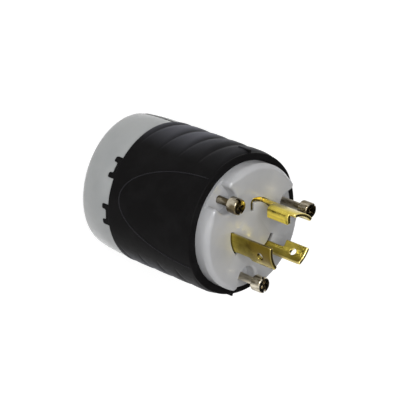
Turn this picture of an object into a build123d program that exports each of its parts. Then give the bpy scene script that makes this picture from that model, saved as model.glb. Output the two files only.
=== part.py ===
from build123d import *
import os
from math import cos, degrees, radians, sin

# A three-wire locking plug. It stands on the rear end of its cord clamp, with the blades
# up along +Z. The two halves of the clamp part along the XZ plane. All sizes are in
# millimetres, all angles in degrees, counted from +X towards +Y.

# Grip sleeve
sleeve_radius = 29.0
sleeve_length = 44.8
rim_wall = 3.5
barrel_wall = 4.0
seat_depth = 8.0
lip_length = 4.0
lip_reach = 3.5
rim_round = 0.5

# Finger ribs, convex rings that meet in creases and fade out round the sleeve
rib_pitch = 10.25
rib_count = 5
rib_first = 0.9
rib_depth = 0.8
rib_land = 0.12
rib_spread = 45.0

# Raised trim on the sleeve
oval_half_width = 17.75
oval_length = 39.45
oval_line_width = 0.6
oval_line_height = 0.22
pip_length = 6.5
pip_width = 0.9
pip_height = 0.45
pip_angle = 7.0

# Fish-tail tabs of the sleeve, let into the clamp halves
tab_length = 3.2
tab_width = 8.2
tab_lean = 18.9
tab_thickness = 1.6
tab_bite_width = 4.2
tab_bite_depth = 2.0
tab_bite_corner = 0.8
tab_corner = 0.6
tab_margin = 0.9

# Rear cord clamp, and the sleeve's tongues that fill its split
rear_length = 20.4
rear_step = 0.45
rear_narrowing_x = 1.25
rear_narrowing_y = 4.75
rear_taper_power = 1.75
rear_bands = 5
rear_edge_round = 3.2
split_gap = 2.4
split_tongue_depth = 6.0
split_tongue_sink = 0.2
flange_thickness = 3.0
flange_overlap = 3.2
cord_radius = 9.0
cord_grip_length = 13.0
cord_mouth_chamfer = 1.4
funnel_radius = 17.0

# Clamp screws and their moulded-in inserts
clamp_screw_spacing = 33.0
clamp_screw_height = 9.0
clamp_screw_radius = 1.95
clamp_head_radius = 3.5
clamp_head_height = 2.6
clamp_head_seat = 9.0
clamp_insert_length = 8.0
clamp_insert_wall = 1.2
clamp_screw_run_out = 2.5

# Front body
face_height = 6.0
shoulder_drop = 2.4
shoulder_reach = 2.2
block_radius_gap = 0.5
wire_space = 9.6
pocket_radius = 4.7
pocket_floor_height = 1.0
pocket_edge_round = 0.8

# Captive assembly screws, and how far each one is backed out
screw_circle_radius = 20.3
screw_angles = (60.0, 187.5, 300.0)
screw_head_radius = 3.2
screw_head_height = 4.5
screw_head_round = 0.6
screw_neck_radius = 1.5
screw_thread_radius = 1.75
screw_thread_length = 10.0
screw_run_out = 5.0
screw_backed_out = (6.7, 9.4, 11.9)
screw_turns = (25.0, 70.0, 140.0)
drive_slot_width = 1.1
drive_slot_depth = 1.5
drive_cross_length = 3.6
insert_length = 10.0
insert_wall = 1.1
boss_wall = 1.3
boss_end = 0.8

# Blades, as curved strips round the axis
blade_radius = 11.6
blade_thickness = 1.5
blade_hole_radius = 1.5
blade_corner = 0.6
blade_bevel = 0.4
notch_height = 8.2
ground_notch_sink = 0.7
neutral_notch_sink = 2.6
hot_notch_sink = 2.6
lip_inner_radius = 7.6
lip_tip_drop = 2.6
blade_angles = {"ground": (-34.0, 25.0), "neutral": (98.5, 147.5), "hot": (-137.0, -101.0)}
blade_neck_ends = {"ground": -8.0, "neutral": 138.0, "hot": -116.0}
ground_blade_length = 21.6
neutral_blade_length = 20.4
hot_blade_length = 19.2
ground_hole_height = 13.4
neutral_hole_height = 14.6
hot_hole_height = 13.4

# Terminals behind the blades
terminal_width = 12.0
terminal_thickness = 2.0
chamber_roof = 1.2
chamber_back_gap = 1.7
wire_gap = 3.7
plate_width = 10.0
plate_thickness = 1.4
plate_margin = 2.6
terminal_screw_radius = 1.95
terminal_head_radius = 3.6
terminal_head_height = 2.8
terminal_screw_tip = 1.0

# Wire guide
guide_thickness = 3.0
guide_hole_radius = 3.2
guide_hole_flare = 0.8
guide_screw_radius = 1.5
guide_screw_length = 9.0
guide_head_radius = 3.0
guide_head_height = 2.2

# Clearances
moulding_fit = 0.15
sliding_fit = 0.3
screw_fit = 0.2
thread_fit = 0.05
press_fit = 0.02

# Levels and radii that follow from the sizes above
sleeve_rear = rear_length
rim = sleeve_rear + sleeve_length
face = rim + face_height
ledge = rim - seat_depth
lip_top = sleeve_rear + lip_length
flange_top = lip_top + moulding_fit + flange_thickness
front_bore = sleeve_radius - rim_wall
barrel_bore = sleeve_radius - barrel_wall
lip_radius = barrel_bore - lip_reach
rear_radius = sleeve_radius - rear_step
clamp_front = sleeve_rear - moulding_fit
taper_top = sleeve_rear - tab_length - tab_margin
disc_radius = front_bore - moulding_fit
block_radius = barrel_bore - block_radius_gap
guide_bottom = flange_top + wire_space
block_bottom = guide_bottom + guide_thickness
chamber_top = ledge - chamber_roof
pocket_floor = rim + pocket_floor_height
insert_radius = screw_thread_radius + thread_fit + insert_wall
boss_radius = insert_radius + press_fit + boss_wall
boss_length = insert_length + screw_run_out + boss_end
boss_bottom = ledge - boss_length
screw_length = pocket_floor - ledge + insert_length + screw_run_out
blade_inner = blade_radius - blade_thickness / 2
blade_outer = blade_radius + blade_thickness / 2
terminal_outer = blade_outer
terminal_inner = terminal_outer - terminal_thickness
chamber_inner = terminal_inner - chamber_back_gap
chamber_width = terminal_width + 2 * sliding_fit
plate_inner = terminal_outer + wire_gap
plate_outer = plate_inner + plate_thickness
plate_height = chamber_top - block_bottom - 2 * plate_margin
terminal_level = (chamber_top + block_bottom) / 2
wire_circle = (terminal_outer + plate_inner) / 2
blade_names = tuple(blade_angles)
blade_lengths = dict(zip(blade_names, (ground_blade_length, neutral_blade_length, hot_blade_length)))
blade_hole_heights = dict(zip(blade_names, (ground_hole_height, neutral_hole_height, hot_hole_height)))
notch_sinks = dict(zip(blade_names, (ground_notch_sink, neutral_notch_sink, hot_notch_sink)))
screw_places = [
    Location(
        (screw_circle_radius * cos(radians(angle)), screw_circle_radius * sin(radians(angle)), 0),
        (0, 0, angle),
    )
    for angle in screw_angles
]
past = 1.0


def middle_angle(blade):
    """The angle at which a blade's terminal faces outwards."""
    first, last = blade_angles[blade]
    return (first + last) / 2


def outward_plane(angle, level):
    """A plane through the axis at a level, facing outwards, with its local Y along +Z."""
    out = Vector(cos(radians(angle)), sin(radians(angle)), 0)
    along = Vector(-sin(radians(angle)), cos(radians(angle)), 0)
    return Plane(origin=(0, 0, level), x_dir=along, z_dir=out)


def ring_sector(inner, outer, first, last):
    """Add a sector of a ring to the sketch, between two angles."""
    with BuildLine() as outline:
        outside = CenterArc((0, 0), outer, first, last - first)
        inside = CenterArc((0, 0), inner, first, last - first)
        Line(inside @ 0, outside @ 0)
        Line(inside @ 1, outside @ 1)
    make_face(outline.edges())


def boss_outline(radius, reach):
    """Add a round boss on each assembly screw, carried out to the wall by a web."""
    with Locations(*screw_places):
        Circle(radius)
        with Locations((reach / 2, 0)):
            Rectangle(reach, 2 * radius)


def fishtail_band(gap):
    """The four fish-tail tabs, two on each side, grown all round by a gap."""
    tab_middle = sleeve_radius * sin(radians(tab_lean))
    tab_low = sleeve_rear - tab_length
    with BuildPart() as band:
        with BuildSketch(Plane.XZ) as outline:
            with Locations((-tab_middle, sleeve_rear), (tab_middle, sleeve_rear)):
                Rectangle(tab_width + 2 * gap, 2 * (tab_length + gap))
            with Locations((-tab_middle, tab_low), (tab_middle, tab_low)):
                Rectangle(tab_bite_width - 2 * gap, 2 * (tab_bite_depth - gap), mode=Mode.SUBTRACT)
            fillet(outline.vertices().group_by(Axis.Y)[1], radius=tab_bite_corner - gap)
            fillet(outline.vertices().group_by(Axis.Y)[0], radius=tab_corner + gap)
        extrude(amount=sleeve_radius, both=True)
        with BuildSketch(Plane.XY.offset(tab_low - gap)):
            Circle(sleeve_radius - rear_step / 2 + gap)
            Circle(rear_radius - tab_thickness - gap, mode=Mode.SUBTRACT)
        extrude(amount=tab_length + gap + lip_length / 2, mode=Mode.INTERSECT)
    return band.part


def clamp_half_axis(narrowing, share):
    """Half axis of the clamp's outline at a share of its taper towards the rear end."""
    return rear_radius - narrowing * share**rear_taper_power


def split_tongues():
    """The two tongues of the sleeve that fill the clamp's split and follow its outline."""
    low = split_tongue_sink
    inner = rear_radius - low - split_tongue_depth
    top = sleeve_rear + lip_length / 2
    shares = [band / rear_bands for band in range(rear_bands, -1, -1)]
    edge = [
        (clamp_half_axis(rear_narrowing_x, share) - low, max(low, taper_top * (1 - share)))
        for share in shares
    ]
    with BuildPart() as tongues:
        for side in (1, -1):
            with BuildSketch(Plane(origin=(0, 0, 0), x_dir=(side, 0, 0), z_dir=(0, -side, 0))) as outline:
                with BuildLine():
                    Polyline((inner, top), (inner, low), *edge, (rear_radius - low, top), close=True)
                make_face()
                rear_corner = outline.vertices().group_by(Axis.Y)[0].sort_by(Axis.X)[-1]
                fillet(rear_corner, radius=rear_edge_round - low)
            extrude(amount=split_gap / 2 - moulding_fit, both=True)
    return tongues.part


def side_ovals():
    """The thin half-oval line raised on each side of the sleeve."""
    with BuildPart() as lines:
        with BuildSketch(Plane.XZ):
            with Locations((0, rim)):
                Ellipse(oval_half_width, oval_length)
                Ellipse(oval_half_width - oval_line_width, oval_length - oval_line_width, mode=Mode.SUBTRACT)
        extrude(amount=2 * sleeve_radius, both=True)
        with BuildSketch(Plane.XY.offset(sleeve_rear)):
            Circle(sleeve_radius + oval_line_height)
            Circle(sleeve_radius - rim_wall / 2, mode=Mode.SUBTRACT)
        extrude(amount=sleeve_length - rim_round, mode=Mode.INTERSECT)
    return lines.part


def ground_lip(gap):
    """Add the section of the ground blade's inward lip to the sketch, grown by a gap."""
    lip_angle = blade_angles["ground"][1] - degrees(blade_thickness / 2 / blade_radius)
    lip_length_in = blade_radius - lip_inner_radius + gap
    with PolarLocations(blade_radius - lip_length_in / 2, 1, start_angle=lip_angle):
        Rectangle(lip_length_in, blade_thickness + 2 * gap)


def slot_section(blade, gap):
    """Add a blade's cross-section to the sketch, grown all round by a gap."""
    first, last = blade_angles[blade]
    spread = degrees(gap / blade_radius)
    ring_sector(blade_inner - gap, blade_outer + gap, first - spread, last + spread)
    if blade == "ground":
        ground_lip(gap)


parts = {}
tabs = fishtail_band(0)
tab_recesses = fishtail_band(moulding_fit)
ovals = side_ovals()

# Grip sleeve: a stepped barrel with ribs on two sides and a boss behind each assembly screw
with BuildPart() as grip_sleeve:
    with BuildSketch(Plane.XZ) as barrel:
        with BuildLine():
            Polyline(
                (lip_radius, sleeve_rear),
                (sleeve_radius, sleeve_rear),
                (sleeve_radius, rim),
                (front_bore, rim),
                (front_bore, ledge),
                (barrel_bore, ledge),
                (barrel_bore, lip_top),
                (lip_radius, lip_top),
                close=True,
            )
        make_face()
        fillet(barrel.vertices().group_by(Axis.X)[-1], radius=rim_round)
    revolve(axis=Axis.Z)
    rib_offset = rib_depth / (1 - cos(radians(rib_spread)))
    crease_radius = sleeve_radius + rib_offset - rib_depth
    clear_radius = sleeve_radius + 2 * rib_offset
    creases = [rim - rib_first - rib_pitch * turn for turn in range(-1, rib_count + 1)]
    for side in (1, -1):
        with BuildSketch(Plane(origin=(0, 0, 0), x_dir=(side, 0, 0), z_dir=(0, -side, 0))):
            with BuildLine():
                for top, bottom in zip(creases, creases[1:]):
                    SagittaArc(
                        (crease_radius - rib_offset, top),
                        (crease_radius - rib_offset, bottom),
                        rib_depth + rib_land,
                    )
                Polyline(
                    (crease_radius - rib_offset, creases[-1]),
                    (clear_radius, creases[-1]),
                    (clear_radius, creases[0]),
                    (crease_radius - rib_offset, creases[0]),
                )
            make_face()
        revolve(axis=Axis((-side * rib_offset, 0, 0), (0, 0, 1)), mode=Mode.SUBTRACT)
    with BuildSketch(Plane.XY.offset(boss_bottom)):
        boss_outline(boss_radius, barrel_bore - screw_circle_radius + barrel_wall / 2)
    extrude(amount=boss_length)
    with Locations((0, 0, ledge)):
        with Locations(*screw_places):
            CounterBoreHole(
                radius=screw_thread_radius + screw_fit,
                counter_bore_radius=insert_radius + press_fit,
                counter_bore_depth=insert_length,
                depth=boss_length + past,
            )
    add(tabs)
    add(ovals)
    add(split_tongues())
    with Locations((0, 0, rim - rim_round)):
        with PolarLocations(sleeve_radius + pip_height, 2, start_angle=pip_angle):
            Box(
                pip_height + 2 * rib_depth,
                pip_width,
                pip_length,
                align=(Align.MAX, Align.CENTER, Align.MAX),
            )
parts["grip_sleeve"] = grip_sleeve.part

# Front body: a shouldered disc in front, and behind it the block that holds the terminals
with BuildPart() as front_body:
    with BuildSketch(Plane.XZ):
        with BuildLine():
            Polyline(
                (disc_radius - shoulder_reach, face),
                (0, face),
                (0, block_bottom),
                (block_radius, block_bottom),
                (block_radius, ledge),
                (disc_radius, ledge),
                (disc_radius, face - shoulder_drop),
            )
            EllipticalCenterArc(
                (disc_radius - shoulder_reach, face - shoulder_drop),
                shoulder_reach,
                shoulder_drop,
                start_angle=0,
                arc_size=90,
            )
        make_face()
    revolve(axis=Axis.Z)
    with BuildSketch(Plane.XY.offset(block_bottom)):
        boss_outline(boss_radius + sliding_fit, block_radius)
    extrude(amount=ledge - block_bottom, mode=Mode.SUBTRACT)
    with BuildSketch(Plane.XY.offset(block_bottom)):
        for blade in blade_names:
            with PolarLocations((chamber_inner + sleeve_radius) / 2, 1, start_angle=middle_angle(blade)):
                Rectangle(sleeve_radius - chamber_inner, chamber_width)
    extrude(amount=chamber_top - block_bottom, mode=Mode.SUBTRACT)
    with BuildSketch(Plane.XY.offset(pocket_floor)):
        boss_outline(pocket_radius, disc_radius)
    extrude(amount=face - pocket_floor, mode=Mode.SUBTRACT)
    pocket_edges = front_body.edges().group_by(Axis.Z)[-1].filter_by(GeomType.CIRCLE)
    fillet(
        [edge for edge in pocket_edges if abs(edge.radius - pocket_radius) < pocket_radius / 10],
        radius=pocket_edge_round,
    )
    with BuildSketch(Plane.XY.offset(chamber_top)):
        for blade in blade_names:
            slot_section(blade, screw_fit)
    extrude(amount=face - chamber_top, mode=Mode.SUBTRACT)
    with Locations((0, 0, pocket_floor)):
        with Locations(*screw_places):
            Hole(radius=screw_thread_radius + screw_fit, depth=pocket_floor - ledge + past)
    with Locations(Plane.XY.offset(block_bottom).rotated((180, 0, 0))):
        Hole(radius=guide_screw_radius + thread_fit, depth=guide_screw_length)
parts["front_body"] = front_body.part

# Rear cord clamp: one oval body, shaped whole and then parted into two halves
with BuildPart() as clamp_body:
    with BuildSketch(Plane.XY.offset(taper_top)):
        Circle(rear_radius)
    for band in range(1, rear_bands + 1):
        share = band / rear_bands
        with BuildSketch(Plane.XY.offset(taper_top * (1 - share))):
            Ellipse(clamp_half_axis(rear_narrowing_x, share), clamp_half_axis(rear_narrowing_y, share))
    loft(ruled=True)
    fillet(clamp_body.edges().group_by(Axis.Z)[0], radius=rear_edge_round)
    with BuildSketch(Plane.XY.offset(taper_top)):
        Circle(rear_radius)
    extrude(amount=clamp_front - taper_top)
    with BuildSketch(Plane.XZ):
        with BuildLine():
            Polyline(
                (0, clamp_front),
                (lip_radius - moulding_fit, clamp_front),
                (lip_radius - moulding_fit, lip_top + moulding_fit),
                (lip_radius + flange_overlap, lip_top + moulding_fit),
                (lip_radius + flange_overlap, flange_top),
                (0, flange_top),
                close=True,
            )
        make_face()
    revolve(axis=Axis.Z)
    add(tab_recesses, mode=Mode.SUBTRACT)
    with BuildSketch(Plane.XZ):
        with BuildLine():
            Polyline(
                (0, -past),
                (cord_radius + cord_mouth_chamfer + past, -past),
                (cord_radius, cord_mouth_chamfer),
                (cord_radius, cord_grip_length),
                (funnel_radius, flange_top),
                (funnel_radius, flange_top + past),
                (0, flange_top + past),
                close=True,
            )
        make_face()
    revolve(axis=Axis.Z, mode=Mode.SUBTRACT)
    with BuildSketch(Plane.XZ):
        Rectangle(4 * sleeve_radius, 4 * sleeve_radius)
    extrude(amount=split_gap / 2, both=True, mode=Mode.SUBTRACT)

clamp_screw_places = [(side * clamp_screw_spacing / 2, 0, clamp_screw_height) for side in (1, -1)]
clamp_insert_radius = clamp_screw_radius + thread_fit + clamp_insert_wall
clamp_screw_end = split_gap / 2 + clamp_insert_length + clamp_screw_run_out

with BuildPart() as clamp_half_near:
    add(clamp_body.part.solids().sort_by(Axis.Y)[-1])
    for place in clamp_screw_places:
        with BuildSketch(Plane(origin=place, z_dir=(0, 1, 0))):
            Circle(clamp_insert_radius + press_fit)
        extrude(amount=split_gap / 2 + clamp_insert_length, mode=Mode.SUBTRACT)
        with BuildSketch(Plane(origin=place, z_dir=(0, 1, 0))):
            Circle(clamp_screw_radius + screw_fit)
        extrude(amount=clamp_screw_end + past, mode=Mode.SUBTRACT)
parts["clamp_half_near"] = clamp_half_near.part

with BuildPart() as clamp_half_far:
    add(clamp_body.part.solids().sort_by(Axis.Y)[0])
    for place in clamp_screw_places:
        with BuildSketch(Plane(origin=place, z_dir=(0, -1, 0))):
            Circle(clamp_screw_radius + screw_fit)
        extrude(amount=clamp_head_seat, mode=Mode.SUBTRACT)
        with BuildSketch(Plane(origin=place, z_dir=(0, -1, 0)).offset(clamp_head_seat)):
            Circle(clamp_head_radius + sliding_fit)
        extrude(amount=sleeve_radius, mode=Mode.SUBTRACT)
parts["clamp_half_far"] = clamp_half_far.part


def screw_drive(plane, length):
    """Cut a combination drive into a screw's head: a slot across it and a shorter cross slot."""
    with BuildSketch(plane) as recess:
        Rectangle(length, drive_slot_width)
        Rectangle(drive_slot_width, drive_cross_length)
    extrude(recess.sketch, amount=-drive_slot_depth, mode=Mode.SUBTRACT)


# The two screws of the cord clamp, driven from the far side, and their inserts in the near half
with BuildPart() as clamp_screws:
    for place in clamp_screw_places:
        with BuildSketch(Plane(origin=place, z_dir=(0, -1, 0)).offset(clamp_head_seat)):
            Circle(clamp_head_radius)
        extrude(amount=clamp_head_height)
        with BuildSketch(Plane(origin=place, z_dir=(0, -1, 0)).offset(clamp_head_seat)):
            Circle(clamp_screw_radius)
        extrude(amount=-clamp_head_seat - clamp_screw_end)
    fillet(clamp_screws.edges().group_by(Axis.Y)[0], radius=screw_head_round)
    for place in clamp_screw_places:
        top = Plane(origin=place, z_dir=(0, -1, 0)).offset(clamp_head_seat + clamp_head_height)
        screw_drive(top, 3 * clamp_head_radius)
parts["clamp_screws"] = clamp_screws.part

with BuildPart() as clamp_inserts:
    for place in clamp_screw_places:
        with BuildSketch(Plane(origin=place, z_dir=(0, 1, 0)).offset(split_gap / 2)):
            Circle(clamp_insert_radius)
            Circle(clamp_screw_radius + thread_fit, mode=Mode.SUBTRACT)
        extrude(amount=clamp_insert_length)
parts["clamp_inserts"] = clamp_inserts.part

# Assembly screws: each has a fillister head, a thin neck that keeps it captive, and a thread
with BuildPart() as assembly_screws:
    for angle, backed_out, turn in zip(screw_angles, screw_backed_out, screw_turns):
        across = screw_circle_radius * Vector(cos(radians(angle)), sin(radians(angle)), 0)
        seat = Plane(origin=across).offset(pocket_floor + backed_out).rotated((0, 0, turn))
        with BuildSketch(seat):
            Circle(screw_head_radius)
        head = extrude(amount=screw_head_height)
        fillet(head.edges().group_by(Axis.Z)[-1], radius=screw_head_round)
        with BuildSketch(seat):
            Circle(screw_neck_radius)
        extrude(amount=-screw_length)
        with BuildSketch(seat.offset(-screw_length)):
            Circle(screw_thread_radius)
        extrude(amount=screw_thread_length)
        screw_drive(seat.offset(screw_head_height), 3 * screw_head_radius)
parts["assembly_screws"] = assembly_screws.part

with BuildPart() as screw_inserts:
    with BuildSketch(Plane.XY.offset(ledge - insert_length)):
        with Locations(*screw_places):
            Circle(insert_radius)
            Circle(screw_thread_radius + thread_fit, mode=Mode.SUBTRACT)
    extrude(amount=insert_length)
parts["screw_inserts"] = screw_inserts.part

# Blades and terminals: a curved blade on a flat terminal, a pressure plate and its screw
for blade in blade_names:
    first, last = blade_angles[blade]
    tip = face + blade_lengths[blade]
    outward = outward_plane(middle_angle(blade), terminal_level)
    with BuildPart() as strip:
        with BuildSketch(Plane.XY.offset(chamber_top)):
            ring_sector(blade_inner, blade_outer, first, last)
        extrude(amount=tip - chamber_top)
        if blade == "ground":
            with BuildSketch(Plane.XY.offset(chamber_top)):
                ground_lip(0)
            extrude(amount=tip - lip_tip_drop - chamber_top)
        beyond = last + degrees(past / blade_radius)
        with BuildSketch(Plane.XY.offset(face - notch_sinks[blade])):
            ring_sector(lip_inner_radius - past, blade_outer + past, blade_neck_ends[blade], beyond)
        extrude(amount=notch_height + notch_sinks[blade], mode=Mode.SUBTRACT)
        fillet(strip.faces().sort_by(Axis.Z)[-1].edges().filter_by(GeomType.LINE), radius=blade_corner)
        chamfer(strip.faces().sort_by(Axis.Z)[-1].edges().filter_by(GeomType.CIRCLE), length=blade_bevel)
        hole_angle = (first + blade_neck_ends[blade]) / 2 if blade == "ground" else middle_angle(blade)
        with BuildSketch(outward_plane(hole_angle, face + blade_hole_heights[blade])):
            Circle(blade_hole_radius)
        extrude(amount=sleeve_radius, mode=Mode.SUBTRACT)
        with BuildSketch(outward.offset(terminal_inner)):
            with Locations((0, moulding_fit / 2)):
                Rectangle(terminal_width, chamber_top - block_bottom - moulding_fit)
        extrude(amount=terminal_thickness)
        with BuildSketch(outward):
            Circle(terminal_screw_radius + thread_fit)
        extrude(amount=terminal_outer + past, mode=Mode.SUBTRACT)
    parts[f"{blade}_blade"] = strip.part

    with BuildPart() as plate:
        with BuildSketch(outward.offset(plate_inner)):
            Rectangle(plate_width, plate_height)
            Circle(terminal_screw_radius + screw_fit, mode=Mode.SUBTRACT)
        extrude(amount=plate_thickness)
    parts[f"{blade}_clamp_plate"] = plate.part

    with BuildPart() as terminal_screw:
        with BuildSketch(outward.offset(plate_outer)):
            Circle(terminal_head_radius)
        extrude(amount=terminal_head_height)
        with BuildSketch(outward.offset(plate_outer)):
            Circle(terminal_screw_radius)
        extrude(amount=terminal_inner - terminal_screw_tip - plate_outer)
        screw_drive(outward.offset(plate_outer + terminal_head_height), 3 * terminal_head_radius)
    parts[f"{blade}_terminal_screw"] = terminal_screw.part

# Wire guide: closes the terminal block from behind and leads each wire under its plate
with BuildPart() as wire_guide:
    with BuildSketch(Plane.XY.offset(guide_bottom)):
        Circle(block_radius)
    extrude(amount=guide_thickness)
    with BuildSketch(Plane.XY.offset(guide_bottom)):
        boss_outline(boss_radius + sliding_fit, block_radius)
    extrude(amount=guide_thickness, mode=Mode.SUBTRACT)
    with Locations(Plane.XY.offset(guide_bottom).rotated((180, 0, 0))):
        Hole(radius=guide_screw_radius + screw_fit, depth=guide_thickness + past)
    for blade in blade_names:
        with BuildSketch(Plane.XY.offset(guide_bottom)):
            with PolarLocations(wire_circle, 1, start_angle=middle_angle(blade)):
                Circle(guide_hole_radius)
        extrude(amount=guide_thickness, mode=Mode.SUBTRACT)
    mouths = wire_guide.edges().group_by(Axis.Z)[0].filter_by(GeomType.CIRCLE)
    chamfer(
        [edge for edge in mouths if abs(edge.radius - guide_hole_radius) < guide_hole_flare / 10],
        length=guide_hole_flare,
    )
parts["wire_guide"] = wire_guide.part

with BuildPart() as wire_guide_screw:
    with BuildSketch(Plane.XY.offset(guide_bottom)):
        Circle(guide_screw_radius)
    extrude(amount=guide_thickness + guide_screw_length - past)
    with BuildSketch(Plane.XY.offset(guide_bottom - guide_head_height)):
        Circle(guide_head_radius)
    extrude(amount=guide_head_height)
    under = Plane.XY.offset(guide_bottom - guide_head_height).rotated((180, 0, 0))
    screw_drive(under, 3 * guide_head_radius)
parts["wire_guide_screw"] = wire_guide_screw.part

os.makedirs("parts", exist_ok=True)
for name, part in parts.items():
    part.label = name
    export_step(part, f"parts/{name}.step")
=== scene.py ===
from math import asin, atan2, ceil, cos, degrees, hypot, pi, radians, sin, sqrt, tan

import bmesh
import bpy
from bpy.props import FloatProperty, FloatVectorProperty, PointerProperty
from mathutils import Matrix, Vector
from mathutils.geometry import delaunay_2d_cdt


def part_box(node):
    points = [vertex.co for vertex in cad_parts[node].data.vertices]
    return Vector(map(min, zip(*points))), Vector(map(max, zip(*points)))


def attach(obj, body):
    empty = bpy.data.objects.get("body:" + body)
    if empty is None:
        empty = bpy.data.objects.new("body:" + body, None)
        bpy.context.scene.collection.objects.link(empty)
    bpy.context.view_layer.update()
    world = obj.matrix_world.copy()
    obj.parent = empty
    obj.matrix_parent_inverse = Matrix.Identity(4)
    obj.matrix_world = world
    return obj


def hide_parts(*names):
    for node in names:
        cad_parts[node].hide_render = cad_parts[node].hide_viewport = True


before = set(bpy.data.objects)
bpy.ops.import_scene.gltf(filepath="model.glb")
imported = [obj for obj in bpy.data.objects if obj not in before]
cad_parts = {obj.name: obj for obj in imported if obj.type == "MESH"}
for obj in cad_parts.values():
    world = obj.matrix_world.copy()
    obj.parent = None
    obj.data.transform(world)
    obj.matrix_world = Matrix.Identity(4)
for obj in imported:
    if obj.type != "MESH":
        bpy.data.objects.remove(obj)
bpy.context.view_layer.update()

bl_info = {
    "name": "Locking plug",
    "version": (1, 0, 0),
    "blender": (4, 5, 0),
    "location": "3D View > Sidebar > Locking plug",
    "description": "Mouldings, blades, screws and finishes of a three-wire locking plug",
    "category": "Object",
}

# The object's own levels, read from the loaded frame, in metres
mm = 0.001
sleeve_step = 0.45 * mm
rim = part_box("grip_sleeve")[1][2]
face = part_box("front_body")[1][2]
clamp_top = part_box("clamp_half_near")[1][2]
sleeve_radius_from_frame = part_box("clamp_half_near")[1][0] + sleeve_step
blade_tips = {blade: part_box(f"{blade}_blade")[1][2] for blade in ("ground", "neutral", "hot")}

# Limits of the meshes: closer points are merged, copied solids keep a seam, and sharper edges stay hard
weld_distance = 0.002 * mm
seam_gap = 5 * weld_distance
sharp_limit = radians(38)


def length(name, description, millimetres):
    """A length property, given in millimetres and kept in metres."""
    return FloatProperty(
        name=name, description=description, default=millimetres * mm, unit="LENGTH", precision=5
    )


def turn(name, description, angle):
    """An angle property, given in degrees."""
    return FloatProperty(name=name, description=description, default=radians(angle), subtype="ANGLE")


def amount(name, description, value):
    """A plain number property."""
    return FloatProperty(name=name, description=description, default=value)


def tint(name, description, colour):
    """A colour property."""
    return FloatVectorProperty(
        name=name, description=description, default=colour, subtype="COLOR", size=3, min=0.0, max=1.0
    )


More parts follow.
